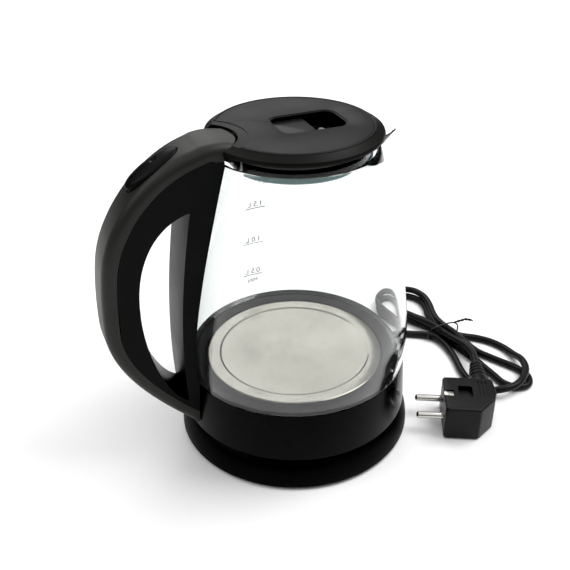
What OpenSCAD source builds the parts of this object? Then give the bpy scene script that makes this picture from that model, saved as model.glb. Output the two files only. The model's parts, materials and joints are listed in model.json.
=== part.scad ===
// Cordless electric kettle: glass jug on a round power base, black lid, handle and mains lead.
// Origin at the centre of the base's underside, +Z up, handle towards -X, spout towards +X.

/* [Power base] */
// Outer radius of the power base at its foot
base_r = 80; // [76:1:96]
// Radius where the base's flank meets its flat top
base_top_r = 70; // [66:1:71]
// Height of the flat top of the base
base_top_z = 21.6; // [20:0.2:22]
// Wall of the base's moulded shells
base_wall = 2.4; // [1.8:0.1:3]
// Radius of the round connector in the middle of the base
spigot_r = 16; // [15:0.2:17]
// Gap between the base's connector and the kettle's socket
spigot_gap = 0.4; // [0.3:0.05:0.8]
// Thickness of the rubber feet under the base
foot_h = 1.2; // [1:0.1:1.6]

/* [Skirt and heater] */
// Outer radius of the black skirt at its lower edge
skirt_low_r = 76.8; // [76:0.2:80]
// Height of the skirt's lower edge
skirt_low_z = 23; // [22.8:0.1:24]
// Outer radius of the skirt where the glass starts
skirt_top_r = 75; // [74:0.2:76]
// Height where the skirt ends and the glass starts
skirt_top_z = 57.4; // [57:0.2:60]
// Wall of the skirt
skirt_wall = 2.4; // [2:0.1:2.8]
// Radius of the steel heater plate
plate_r = 60.4; // [58:0.2:61]
// Radius of the step pressed into the heater plate
plate_step_r = 51; // [48:0.5:54]

/* [Glass jug] */
// Wall of the glass
glass_t = 3; // [2.4:0.1:3.4]
// Height of the glass rim under the lid
rim_z = 206.2; // [200:0.2:240]
// Outer radius of the glass rim
rim_r = 52.4; // [52:0.1:54]
// How far the spout's lip reaches from the middle
spout_x = 70; // [66:0.5:76]
// Half width of the spout where it leaves the neck
spout_half_w = 15; // [12:0.5:18]
// Height of the spout, lip to where it fades into the jug
spout_h = 24; // [18:1:30]

/* [Lid] */
// Outer radius of the lid
lid_r = 54.3; // [54:0.1:58]
// Radius of the ridge where the lid's bevel starts
lid_ridge_r = 49; // [44:0.5:50]
// Radius of the plug that sits inside the glass neck
plug_r = 46.4; // [45:0.1:46.6]
// Length of the finger recess in the lid
recess_l = 42; // [34:0.5:44]
// Width of the finger recess in the lid
recess_w = 28.4; // [24:0.2:30]
// Play between the lid's notch and the handle's tab
notch_gap = 1.5; // [1.2:0.1:2]
// Radius of the hinge pin
pin_r = 1.55; // [1.3:0.05:1.6]
// Play between the hinge pin and the lid's ears
pin_gap = 0.07; // [0.03:0.01:0.1]

/* [Handle] */
// Half width of the handle's tab on the lid
tab_half_w = 17; // [15:0.5:17.5]
// Half width of the hand grip
grip_half_w = 14; // [12:0.5:16]
// Reach of the grip's outer face from the middle of the jug
grip_x = 128; // [127:0.5:134]
// Depth of the handle's outer shell, down to the seam
seam_d = 8.5; // [7:0.5:9]
// Wall of the handle's shells
handle_wall = 2.4; // [2:0.1:2.8]
// Length of the oval rocker switch
rocker_l = 37; // [32:0.5:38]
// Width of the oval rocker switch
rocker_w = 18; // [9:0.5:18]
// Gap round the rocker switch
rocker_gap = 0.6; // [0.5:0.1:1]

/* [Mains lead] */
// Diameter of the mains lead
cord_d = 5.5; // [5:0.1:5.5]
// Length of the plug's pins
plug_pin_l = 19; // [18:0.5:19]
// Distance between the plug's pins
plug_pin_gap = 19; // [19:0.5:19.5]

/* [Hidden] */
$fn = 96;

// Small clearances and shared heights
touch = 0.1;
cover_z = 24;
cover_t = 2.4;
ledge_z = 52;
ledge_t = 2.5;
plate_z = 57;
plate_t = 1.2;
plate_dish = 0.8;
spreader_r = 46;
spreader_t = 3.5;
element_r = 34;
element_tube_r = 4;
socket_r = spigot_r + spigot_gap;
socket_top_z = 38.5;
housing_r = 24.6;
housing_top_z = 46;
glass_foot_r = 72.3;
jug_gap = 0.2;

// Heights of the lid, worked up from the glass rim
lid_low_z = rim_z + 7.4;
lid_edge_z = lid_low_z + 3.2;
lid_top_z = lid_low_z + 5.7;
lid_wall = 2.2;
plug_low_z = rim_z - 6.5;
tab_low_z = rim_z + 3.4;
hinge = [-46, rim_z + 7.3];
plug_cut_x = -41;
recess_x = 9;

// Directions of the lead and the plug on the table
exit_angle = 33;
exit_z = 9;
plug_at = [92, -52];
plug_turn = 153;
plug_z = 13.4;
relief_x = -29;

// A cubic curve through a and d, drawn towards b and c
function curve(a, b, c, d, n) = [for (i = [0:n]) let (t = i / n, s = 1 - t)
    a * s * s * s + 3 * b * s * s * t + 3 * c * s * t * t + d * t * t * t];

function reversed(list) = [for (i = [len(list) - 1:-1:0]) list[i]];

// A round bar from a to b
module rod(a, b, r) {
    v = b - a;
    translate(a)
        rotate([0, acos(v.z / norm(v)), atan2(v.y, v.x)])
            cylinder(r = r, h = norm(v), $fn = 32);
}

// Round bars along a list of points, with ball joints
module rod_path(points, r) {
    for (i = [0:len(points) - 2]) rod(points[i], points[i + 1], r);
    for (i = [1:1:len(points) - 2]) translate(points[i]) sphere(r = 1.06 * r, $fn = 24);
}

module ring(r_out, r_in, low, high) {
    translate([0, 0, low])
        difference() {
            cylinder(r = r_out, h = high - low);
            translate([0, 0, -1]) cylinder(r = r_in, h = high - low + 2);
        }
}

module oval(length, width) {
    hull()
        for (side = [-1, 1])
            translate([side * (length - width) / 2, 0]) circle(d = width, $fn = 48);
}

module rounded_square(length, width, r) {
    hull()
        for (sx = [-1, 1], sy = [-1, 1])
            translate([sx * (length / 2 - r), sy * (width / 2 - r)]) circle(r = r, $fn = 32);
}

// ---- power base ----

base_screw_r = 1.45;
base_screw_ring = 58;
base_screw_angles = [75, 165, 255, 345];
flank = [for (a = [0:15:75])
    [base_top_r + (base_r - base_top_r) * cos(a), 3 + (base_top_z - 3) * sin(a)]];

// Radius of the base's flank at a height
function flank_r(z) = base_top_r + (base_r - base_top_r) * sqrt(1 - pow((z - 3) / (base_top_z - 3), 2));

// The grommet's collar sits just inside the flank's wall
collar_r = 5.4;
collar_t = 2.2;
collar_x = flank_r(exit_z + collar_r) - base_wall - 1.3 - collar_t;

module base_screw_places() {
    for (a = base_screw_angles) rotate([0, 0, a]) translate([base_screw_ring, 0, 0]) children();
}

module exit_frame() {
    rotate([0, 0, exit_angle]) translate([0, 0, exit_z]) rotate([0, 90, 0]) children();
}

module base_cover() {
    color("#1b1b1c")
        difference() {
            union() {
                rotate_extrude()
                    polygon(concat(
                        [[base_r, foot_h + 0.8]],
                        flank,
                        [[base_top_r - 1, base_top_z], [spigot_r + touch, base_top_z],
                            [spigot_r + touch, base_top_z - base_wall],
                            [base_top_r - 3, base_top_z - base_wall]],
                        [for (p = reversed(flank)) [p.x - base_wall, min(p.y, base_top_z - base_wall - 0.6)]],
                        [[base_r - base_wall, foot_h + 0.8]]));
                base_screw_places()
                    translate([0, 0, foot_h + 2]) cylinder(r = 4, h = base_top_z - base_wall - foot_h - 1.9);
            }
            base_screw_places() translate([0, 0, -1]) cylinder(r = base_screw_r + 0.05, h = 15);
            exit_frame() translate([0, 0, base_r - 12]) cylinder(r = 4.7, h = 20);
        }
}

module base_bottom() {
    color("#161617")
        difference() {
            translate([0, 0, foot_h]) cylinder(r = base_r - base_wall - 0.2, h = 2);
            base_screw_places() translate([0, 0, -1]) cylinder(r = base_screw_r + 0.2, h = 10);
            base_screw_places() translate([0, 0, 0]) cylinder(r = 3.4, h = foot_h + 1);
        }
}

module base_spigot() {
    color("#101011")
        difference() {
            union() {
                translate([0, 0, 12]) cylinder(r = spigot_r, h = 24);
                translate([0, 0, base_top_z - base_wall - 2]) cylinder(r = spigot_r + 4, h = 2);
            }
            translate([0, 0, 24]) cylinder(r = 2.8, h = 20);
            ring(8, 5.8, 26, 40);
            ring(12.7, 10.3, 26, 40);
        }
}

module base_contacts() {
    color("#c9a24a") {
        translate([0, 0, 24]) cylinder(r = 2.2, h = 2.6);
        ring(7.6, 6.2, 26, 28);
        ring(12.2, 10.8, 26, 28);
    }
}

module base_feet() {
    color("#2a2a2a")
        union() {
            cylinder(r = 9, h = foot_h);
            for (a = [30, 120, 210, 300]) rotate([0, 0, a]) translate([66, 0, 0]) cylinder(r = 7, h = foot_h);
        }
}

module base_screws() {
    color("#9a9a98")
        base_screw_places() {
            translate([0, 0, foot_h + 0.2]) cylinder(r = 3.1, h = 0.8);
            translate([0, 0, foot_h + 0.9]) cylinder(r = base_screw_r, h = 10);
        }
}

module cord_grommet() {
    color("#19191a")
        exit_frame() {
            translate([0, 0, collar_x]) cylinder(r = 4.6, h = base_r + 1.5 - collar_x);
            translate([0, 0, base_r + 1]) cylinder(r1 = 5.8, r2 = 3.7, h = 19);
            translate([0, 0, collar_x]) cylinder(r = collar_r, h = collar_t);
        }
}

lead_offsets = [-3.4, 0, 3.4];

module lead_frame(offset) {
    rotate([0, 0, exit_angle]) translate([0, offset, exit_z]) rotate([0, 90, 0]) children();
}

module cord_clamp() {
    color("#303030")
        difference() {
            rotate([0, 0, exit_angle]) translate([52, -8, foot_h + 2]) cube([8, 16, 9]);
            for (o = lead_offsets) lead_frame(o) translate([0, 0, 50]) cylinder(r = 1.2, h = 12);
        }
}

module base_leads() {
    colors = ["#6b3b1f", "#d8d32b", "#2f56a8"];
    for (i = [0:2]) color(colors[i]) lead_frame(lead_offsets[i]) translate([0, 0, 22]) cylinder(r = 1.1, h = collar_x - 22);
    for (i = [0:2]) color(colors[i])
        rotate([0, 0, exit_angle])
            rod([22.8, lead_offsets[i], exit_z], [13, lead_offsets[i] * 1.6, 10.8], 1.1);
}

// ---- mains lead and plug ----

// The lead's route from the grommet, through the hank and its tie, to the plug
cord_points = [
    [83.95, 54.52, 9], [92, 59.8, 8.4], [101, 62, 6], [110, 60, 4], [118, 54, 3], [126, 49, 2.8],
    [134, 44, 3.2], [140, 38, 3.7], [142.5, 28, 3.6], [142, 16, 3], [140, 5, 2.8], [137, -6, 2.8],
    [135, -17, 2.8], [135.5, -28, 2.8], [140, -39, 4.2], [148, -46, 7.6], [159, -47, 9],
    [169, -42, 9.2], [178, -33, 9.2], [183, -21, 8], [185, -8, 4], [184, 4, 2.8],
    [179, 15, 2.8], [171, 24, 2.8], [162, 30, 3.2], [155, 37, 3.9], [152, 47, 3.4],
    [151, 58, 2.8], [153, 69, 2.8], [157, 80, 2.8], [158, 92, 2.8], [152, 102, 2.8],
    [141, 105, 2.8], [131, 99, 2.8], [127, 88, 2.8], [130, 76, 2.8], [136, 65, 2.8],
    [142, 54, 3.2], [147, 43, 3.6], [149, 32, 3.6], [150, 21, 3.2], [152, 10, 2.8],
    [154, -2, 2.8], [155, -14, 2.8], [156, -25, 2.8], [157, -35, 2.8], [163, -43, 2.8],
    [173, -44, 2.8], [179, -36, 2.8], [178, -25, 2.8], [173, -15, 2.8], [167, -4, 2.8],
    [161, 7, 3.4], [156, 18, 7], [153, 29, 9.7], [151, 40, 9.8], [151, 52, 9.2],
    [154, 64, 8.5], [158, 76, 8.5], [160, 89, 8.5], [156, 101, 8.5], [145, 107, 8.5],
    [133, 103, 8.5], [127, 93, 8.5], [129, 80, 8.5], [134, 68, 8.5], [140, 56, 8.8],
    [144, 44, 9.6], [146, 32, 9.6], [149, 20, 9.8], [151, 8, 10.8], [149, -4, 12.2],
    [145.4, -11.2, 13.2], [141.75, -18.3, 13.4]];
cord_sides = 10;

function cord_dir(i) = let (
    last = len(cord_points) - 1,
    v = cord_points[min(i + 1, last)] - cord_points[max(i - 1, 0)])
    v / norm(v);

function cord_ring(i) = let (
    d = cord_dir(i),
    side = cross([0, 0, 1], d) / norm(cross([0, 0, 1], d)),
    up = cross(d, side))
    [for (k = [0:cord_sides - 1]) let (a = 360 * k / cord_sides)
        cord_points[i] + cord_d / 2 * (side * cos(a) + up * sin(a))];

module power_cord() {
    n = len(cord_points);
    rings = [for (i = [0:n - 1]) each cord_ring(i)];
    walls = [for (i = [0:n - 2], k = [0:cord_sides - 1]) let (
        a = i * cord_sides + k,
        b = i * cord_sides + (k + 1) % cord_sides)
        each [[a, b, b + cord_sides], [a, b + cord_sides, a + cord_sides]]];
    start_cap = [for (k = [1:cord_sides - 2]) [0, k + 1, k]];
    last = (n - 1) * cord_sides;
    end_cap = [for (k = [1:cord_sides - 2]) [last, last + k, last + k + 1]];
    color("#141415") polyhedron(points = rings, faces = [for (f = concat(walls, start_cap, end_cap)) reversed(f)]);
}

module plug_frame() {
    translate([plug_at.x, plug_at.y, 0]) rotate([0, 0, plug_turn]) children();
}

plug_h = 26.6;

module plug_body() {
    color("#1c1c1d")
        plug_frame()
            difference() {
                translate([0, 0, 0.2])
                    linear_extrude(plug_h)
                        polygon([[0, -18.5], [0, 18.5], [-24, 18.5], [-35, 5], [-37, -3], [-35.5, -18.5]]);
                for (side = [-1, 1])
                    translate([-6, side * plug_pin_gap / 2, plug_z]) rotate([0, 90, 0]) cylinder(r = 2.45, h = 10);
                translate([relief_x, -15, plug_z]) rotate([90, 0, 0]) cylinder(r = 6.3, h = 10);
                translate([-20, -8, plug_h - 3.8]) cube([10, 12, 6]);
                for (z = [-1, plug_h - 2]) translate([-7, -3, z]) cube([9, 6, 3.4]);
            }
}

module plug_relief() {
    color("#1c1c1d")
        plug_frame()
            translate([relief_x, -15, plug_z])
                rotate([90, 0, 0])
                    difference() {
                        union() {
                            cylinder(r = 6.2, h = 3.6);
                            translate([0, 0, 3.5]) cylinder(r1 = 9, r2 = 7.6, h = 13);
                            translate([0, 0, 16.5]) cylinder(r1 = 7.6, r2 = 4.4, h = 21);
                        }
                        for (i = [0:3]) ring(12, 6.2 - i * 0.75, 18 + i * 4.6, 19.6 + i * 4.6);
                    }
}

module plug_pins() {
    color("#c8c8c4")
        plug_frame()
            for (side = [-1, 1])
                translate([-6, side * plug_pin_gap / 2, plug_z])
                    rotate([0, 90, 0]) {
                        cylinder(r = 2.4, h = plug_pin_l + 5);
                        translate([0, 0, plug_pin_l + 5]) cylinder(r1 = 2.4, r2 = 1.4, h = 1);
                    }
}

module plug_earth_clips() {
    color("#b9b9b4")
        plug_frame()
            for (z = [0.9, plug_h - 1.2]) translate([-6.6, -2.4, z]) cube([6.5, 4.8, 0.7]);
}

// The tie goes round the five runs of the hank
tie_at = [148, 37];

module twist_tie() {
    color("#111111") {
        translate([tie_at.x, tie_at.y, 7.3])
            rotate([90, 0, 3])
                difference() {
                    linear_extrude(1.6, center = true) oval(28.8, 14.4);
                    linear_extrude(3, center = true) oval(27.4, 13.2);
                }
        rod_path([[158, 37.4, 13], [163, 39.5, 14.5], [169, 37, 13.5], [175, 36, 11]], 0.6);
    }
}

// ---- kettle body: skirt, heater and glass ----

bottom_screw_angles = [30, 150, 270];
bottom_screw_ring = 66.5;

module bottom_screw_places() {
    for (a = bottom_screw_angles) rotate([0, 0, a]) translate([bottom_screw_ring, 0, 0]) children();
}

handle_screw_y = 10.5;
handle_screw_z = 38;

module handle_screw_places() {
    for (side = [-1, 1])
        translate([0, side * handle_screw_y, handle_screw_z]) rotate([0, -90, 0]) children();
}

module wire_passage(from, to) {
    translate([-from, 0, handle_screw_z]) rotate([0, -90, 0]) cylinder(r = 4.6, h = to - from);
}

module body_skirt() {
    inner_low_r = skirt_low_r - skirt_wall;
    inner_top_r = skirt_top_r - skirt_wall;
    color("#171718")
        difference() {
            union() {
                rotate_extrude()
                    polygon([
                        [skirt_low_r, skirt_low_z], [skirt_top_r, skirt_top_z],
                        [glass_foot_r + 0.2, skirt_top_z], [glass_foot_r + 0.2, ledge_z],
                        [plate_r + 0.6, ledge_z], [plate_r + 0.6, ledge_z - ledge_t],
                        [inner_top_r - 0.6, ledge_z - ledge_t], [inner_low_r, skirt_low_z]]);
                bottom_screw_places()
                    translate([0, 0, cover_z + cover_t])
                        cylinder(r = 4.2, h = ledge_z - ledge_t - cover_z - cover_t + 0.1);
            }
            bottom_screw_places() translate([0, 0, cover_z]) cylinder(r = 1.5, h = 20);
            handle_screw_places() translate([0, 0, 70]) cylinder(r = 1.8, h = 12);
            wire_passage(70, 80);
        }
}

module bottom_cover() {
    color("#171718")
        difference() {
            translate([0, 0, cover_z]) cylinder(r = skirt_low_r - skirt_wall - 0.5, h = cover_t);
            translate([0, 0, cover_z - 1]) cylinder(r = housing_r + touch, h = cover_t + 2);
            bottom_screw_places() translate([0, 0, cover_z - 1]) cylinder(r = 1.8, h = cover_t + 2);
            bottom_screw_places() translate([0, 0, cover_z - 1]) cylinder(r = 3.6, h = 2.2);
        }
}

module bottom_screws() {
    color("#9a9a98")
        bottom_screw_places() {
            translate([0, 0, cover_z + 0.2]) cylinder(r = 3.4, h = 1);
            translate([0, 0, cover_z + 1.1]) cylinder(r = 1.45, h = 14);
        }
}

module plate_seal() {
    color("#3c3d3c") ring(glass_foot_r - glass_t - touch, plate_r + touch, ledge_z, plate_z + 0.2);
}

module heater_plate() {
    color("#c2bfb4")
        rotate_extrude()
            polygon([
                [0, plate_z - plate_dish], [plate_step_r - 0.5, plate_z - plate_dish],
                [plate_step_r + 1.5, plate_z], [plate_r, plate_z],
                [plate_r, plate_z - 7], [plate_r - plate_t, plate_z - 7],
                [plate_r - plate_t, plate_z - plate_t], [plate_step_r + 1, plate_z - plate_t],
                [plate_step_r, plate_z - plate_dish - plate_t], [0, plate_z - plate_dish - plate_t]]);
}

spreader_z = plate_z - plate_dish - plate_t - spreader_t;

module heat_spreader() {
    color("#b4b6b8") translate([0, 0, spreader_z]) cylinder(r = spreader_r, h = spreader_t);
}

module heating_element() {
    z = spreader_z - element_tube_r;
    color("#8c8c88") {
        translate([0, 0, z])
            rotate([0, 0, -150])
                rotate_extrude(angle = 300) translate([element_r, 0]) circle(r = element_tube_r, $fn = 48);
        for (side = [-1, 1])
            rotate([0, 0, side * 144])
                translate([element_r, 0, z - 9]) cylinder(r = 2.4, h = 8);
    }
}

module thermostat_housing() {
    color("#e2dfd6")
        difference() {
            translate([0, 0, cover_z]) cylinder(r = housing_r, h = housing_top_z - cover_z);
            translate([0, 0, cover_z - 1]) cylinder(r = socket_r, h = socket_top_z - cover_z + 1);
        }
}

module bimetal_discs() {
    color("#c0a060")
        for (side = [-1, 1]) translate([0, side * 13, 0]) {
            translate([0, 0, housing_top_z]) cylinder(r = 2, h = spreader_z - housing_top_z - 0.8);
            translate([0, 0, spreader_z - 0.9]) cylinder(r = 6.5, h = 0.8);
        }
}

module socket_contacts() {
    color("#c9a24a") {
        translate([0, 0, 28]) cylinder(r = 2, h = socket_top_z - 28);
        ring(7.4, 6.4, 29.5, socket_top_z);
        ring(12, 11, 29.5, socket_top_z);
    }
}

// Outer line of the jug, foot to rim
jug_line = curve([skirt_top_r, skirt_top_z + 0.2], [skirt_top_r + 5, skirt_top_z + 28],
    [rim_r + 16.1, rim_z - 66], [rim_r, rim_z], 18);

// Solid of revolution of the jug's outer line, grown by a gap
module jug_solid(gap, up_to) {
    rotate_extrude()
        polygon(concat([[0, skirt_top_z + 0.2]], [for (p = jug_line) [p.x + gap, p.y]],
            [[rim_r + gap, up_to], [0, up_to]]));
}

module spout_solid(wall) {
    tip_r = 6.5;
    hull() {
        translate([spout_x - tip_r, 0, rim_z - 2.4]) cylinder(r = tip_r - wall, h = 2.4 + wall, $fn = 32);
        translate([spout_x - 10, 0, rim_z - 8]) cylinder(r = 6 - wall, h = 1, $fn = 32);
        for (side = [-1, 1])
            translate([rim_r - 9, side * (spout_half_w - wall), rim_z - 4]) cylinder(r = 4, h = 4 + wall, $fn = 32);
        translate([rim_r - wall, 0, rim_z - spout_h + 2.4 * wall]) cylinder(r = 3, h = 1, $fn = 32);
    }
}

module glass_jug() {
    foot_in = glass_foot_r - glass_t;
    color("#dfe9e8", 0.3)
        difference() {
            union() {
                rotate_extrude()
                    polygon(concat(
                        [[foot_in, ledge_z], [glass_foot_r, ledge_z], [glass_foot_r, skirt_top_z + 0.2]],
                        jug_line,
                        [[rim_r - glass_t - 4, rim_z]],
                        [[foot_in - 4, skirt_top_z + 2]]));
                spout_solid(0);
            }
            rotate_extrude()
                polygon(concat(
                    [[0, ledge_z - 1], [foot_in, ledge_z - 1], [foot_in, skirt_top_z]],
                    [for (p = jug_line) [p.x - glass_t, p.y]],
                    [[rim_r - glass_t, rim_z + 5], [0, rim_z + 5]]));
            spout_solid(2.2);
        }
}

// ---- handle ----

tab_end_r = 22;
tab_end_x = -38.5;
foot_solid_z = 46;

// Side outline of the handle's outside, tab to skirt, closed inside the jug
handle_side = concat(
    [[tab_end_x, tab_low_z], [tab_end_x, rim_z + 11.4]],
    curve([-46, rim_z + 12.6], [-52, rim_z + 13.6], [-57, rim_z + 13.6], [-62, rim_z + 12.4], 4),
    curve([-66, rim_z + 11], [5 - grip_x * 0.7, rim_z + 6], [20 - grip_x, rim_z - 10], [7 - grip_x, rim_z - 41], 9),
    curve([5 - grip_x, rim_z - 47], [2 - grip_x, rim_z - 56], [-grip_x, rim_z - 76], [-grip_x, 110], 6),
    curve([-grip_x, 106], [0.5 - grip_x, 84], [16 - grip_x, 57], [-77, 26.5], 9),
    [[-60, 26.5], [-40, 100]]);

// Outline of the opening for the hand
hand_hole = concat(
    curve([-72, rim_z - 25], [-92, rim_z - 30], [23 - grip_x, rim_z - 51], [22 - grip_x, rim_z - 81], 8),
    curve([22 - grip_x, 122], [21 - grip_x, 95], [31 - grip_x, 56], [-81, 47], 8),
    curve([-81.4, 50], [-84, 92], [-80, rim_z - 71], [-72.4, rim_z - 28], 8));

module hand_hole_2d() {
    offset(r = 4, $fn = 24) offset(delta = -4) polygon(hand_hole);
}

module handle_side_2d() {
    difference() {
        polygon(handle_side);
        hand_hole_2d();
    }
}

// Outline of the handle seen from above
module handle_plan_2d(grow) {
    hull() {
        intersection() {
            translate([tab_end_x - tab_end_r, 0]) circle(r = tab_end_r + grow, $fn = 96);
            square([200, 2 * (tab_half_w + grow)], center = true);
        }
        for (side = [-1, 1])
            translate([8 - grip_x, side * (grip_half_w - 8)]) circle(r = 8 + grow, $fn = 48);
    }
}

module from_side(half_w) {
    rotate([90, 0, 0]) linear_extrude(2 * half_w, center = true) children();
}

// Everything the handle must stay clear of: glass, skirt and the rim's gap
module jug_keepout(gap) {
    jug_solid(gap, tab_low_z - 0.01);
    rotate_extrude()
        polygon([[0, 20], [skirt_low_r + gap + 0.15, 20], [skirt_low_r + gap, skirt_low_z],
            [skirt_top_r + gap, skirt_top_z + 0.3], [0, skirt_top_z + 0.3]]);
}

module handle_cavity() {
    difference() {
        intersection() {
            from_side(30) offset(delta = -handle_wall) handle_side_2d();
            translate([0, 0, 20]) linear_extrude(240) handle_plan_2d(-handle_wall);
        }
        jug_keepout(jug_gap + handle_wall);
        translate([-150, -30, 0]) cube([100, 60, foot_solid_z]);
    }
}

module wire_channel() {
    channel_r = 4.6;
    wire_passage(70, 84);
    translate([-84, 0, handle_screw_z]) sphere(r = channel_r, $fn = 48);
    rod([19 - grip_x, 0, 72], [-84, 0, handle_screw_z], channel_r);
}

module handle_screw_holes() {
    handle_screw_places() translate([0, 0, 70]) cylinder(r = 1.5, h = 16);
}

// Rounds the tab's long edges, so that the lid's notch swings past them
module tab_rounding() {
    r = 8;
    translate([-200, -50, 0]) cube([200 - 60, 100, rim_z + 40]);
    translate([-60.5, 0, 0])
        rotate([90, 0, 90])
            linear_extrude(30)
                hull() {
                    for (side = [-1, 1])
                        translate([side * (tab_half_w - r), rim_z + 13.4 - r]) circle(r = r, $fn = 64);
                    translate([0, 100]) square([2 * tab_half_w, 180], center = true);
                }
}

module handle_solid() {
    difference() {
        intersection() {
            from_side(30) children();
            translate([0, 0, 20]) linear_extrude(240) handle_plan_2d(0);
            tab_rounding();
        }
        jug_keepout(jug_gap);
        handle_cavity();
    }
}

// The rocker's own frame on the sloping top of the handle
rocker_at = [-88.5, 0, rim_z - 0.5];
rocker_tilt = 31;
rocker_pivot_drop = 2.2;
rocker_pin_r = 1.6;
rocker_boss_y = rocker_w / 2 + rocker_gap + 2;

module rocker_frame() {
    translate(rocker_at) rotate([0, -rocker_tilt, 0]) children();
}

module hinge_bore(r, half_l) {
    translate([hinge.x, 0, hinge.y]) rotate([90, 0, 0]) cylinder(r = r, h = 2 * half_l, center = true);
}

module handle_outer() {
    color("#2f302b")
        difference() {
            union() {
                handle_solid()
                    difference() {
                        handle_side_2d();
                        offset(delta = -seam_d) polygon(handle_side);
                    }
                rocker_frame()
                    for (side = [-1, 1])
                        translate([0, side * rocker_boss_y, -rocker_pivot_drop])
                            rotate([90, 0, 0]) cylinder(r = 3.2, h = 3.4, center = true, $fn = 48);
            }
            rocker_frame()
                translate([0, 0, -9])
                    linear_extrude(20) oval(rocker_l + 2 * rocker_gap, rocker_w + 2 * rocker_gap);
            rocker_frame()
                translate([0, 0, -rocker_pivot_drop])
                    rotate([90, 0, 0]) cylinder(r = rocker_pin_r + 0.07, h = 2 * rocker_boss_y + 1.6, center = true);
            hinge_bore(pin_r + 0.03, 24);
            translate([-42.4, 0, tab_low_z - 1]) cylinder(r = 1.3, h = 5);
            wire_channel();
            handle_screw_holes();
        }
}

module handle_inner() {
    color("#191a1d")
        difference() {
            handle_solid()
                intersection() {
                    handle_side_2d();
                    offset(delta = -seam_d - 0.02) polygon(handle_side);
                }
            wire_channel();
            handle_screw_holes();
        }
}

module handle_screws() {
    color("#9a9a98")
        handle_screw_places() {
            translate([0, 0, 70.2]) cylinder(r = 3, h = 1.5);
            translate([0, 0, 71.6]) cylinder(r = 1.45, h = 14);
        }
}

module steam_tube() {
    tube = [[-49.5, 0, rim_z + 8.4], [-61, 0, rim_z + 7], [-70, 0, rim_z - 3]];
    color("#d9d6cc")
        difference() {
            rod_path(tube, 1.9);
            rod_path([tube[0] + [1, 0, 0.12], tube[1], tube[2] + [-0.8, 0, -0.9]], 1.1);
        }
}

module steam_switch() {
    color("#d8d2c4")
        translate([-85, 0, rim_z - 14.5])
            rotate([0, -rocker_tilt, 0]) {
                cube([26, 18, 11], center = true);
                translate([12.9, 0, 0]) rotate([0, 90, 0]) cylinder(r = 4.4, h = 1.6);
            }
}

module handle_wires() {
    wire_r = 1.1;
    bend_x = 11 - grip_x;
    top = [14 - grip_x, rim_z - 44];
    route = [[-97, rim_z - 25], top, [bend_x, 108], [bend_x + 8, 72], [-84, 38], [-60, 38]];
    for (side = [-1, 1])
        color(side > 0 ? "#a33a2a" : "#e6e6e0")
            rod_path([for (p = route) [p.x, side * 3, p.y]], wire_r);
}

module hinge_pin() {
    color("#b0b0ac") hinge_bore(pin_r, tab_half_w + 4.4);
}

// ---- lid ----

module lid_outline(low) {
    rotate_extrude()
        polygon([
            [0, low], [lid_r, low], [lid_r, lid_edge_z - 1.6], [lid_r - 0.6, lid_edge_z - 0.5],
            [lid_r - 1.8, lid_edge_z], [lid_ridge_r, lid_top_z - 0.3], [lid_ridge_r - 1.2, lid_top_z], [0, lid_top_z]]);
}

module lid_hollow() {
    rotate_extrude()
        polygon([
            [0, lid_low_z - 1], [lid_r - lid_wall, lid_low_z - 1], [lid_r - lid_wall, lid_edge_z - 2.6],
            [lid_ridge_r - 0.4, lid_top_z - lid_wall - 0.3], [0, lid_top_z - lid_wall]]);
}

// Room for the handle's tab, cut out of the lid's parts
module tab_notch(low) {
    translate([0, 0, low]) linear_extrude(40) handle_plan_2d(notch_gap);
}

lid_screw_places = [[24, 29], [24, -29], [-20, 31], [-20, -31]];

module at_lid_screws() {
    for (p = lid_screw_places) translate([p.x, p.y, 0]) children();
}

module lid_cover() {
    ear_y = tab_half_w + notch_gap;
    ear_low_z = hinge.y - 2.9;
    color("#4a4b48")
        difference() {
            union() {
                difference() {
                    lid_outline(lid_low_z);
                    lid_hollow();
                }
                intersection() {
                    lid_outline(ear_low_z);
                    for (side = [-1, 1])
                        translate([hinge.x - 5, side * (ear_y + 1.9) - 1.9, ear_low_z]) cube([9.7, 3.8, 7]);
                }
                at_lid_screws() translate([0, 0, lid_low_z]) cylinder(r = 3.2, h = lid_top_z - lid_wall - lid_low_z + 0.1);
            }
            tab_notch(lid_low_z - 5);
            hinge_bore(pin_r + pin_gap, ear_y + 3.4);
            at_lid_screws() translate([0, 0, lid_low_z - 1]) cylinder(r = 1.45, h = lid_top_z - lid_low_z - 0.2);
            translate([recess_x, 0, lid_top_z - 10]) linear_extrude(12) rounded_square(recess_l, recess_w, 6.5);
        }
}

module plug_rear_cut() {
    translate([plug_cut_x - 40, -60, plug_low_z - 2]) cube([40, 120, lid_top_z - plug_low_z]);
}

// Square room behind the notch's round end, so that the plug swings up past the tab
module tab_swing_room(low) {
    half_w = tab_half_w + notch_gap;
    translate([tab_end_x + notch_gap - 12, -half_w, low]) cube([12, 2 * half_w, 40]);
}

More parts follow.
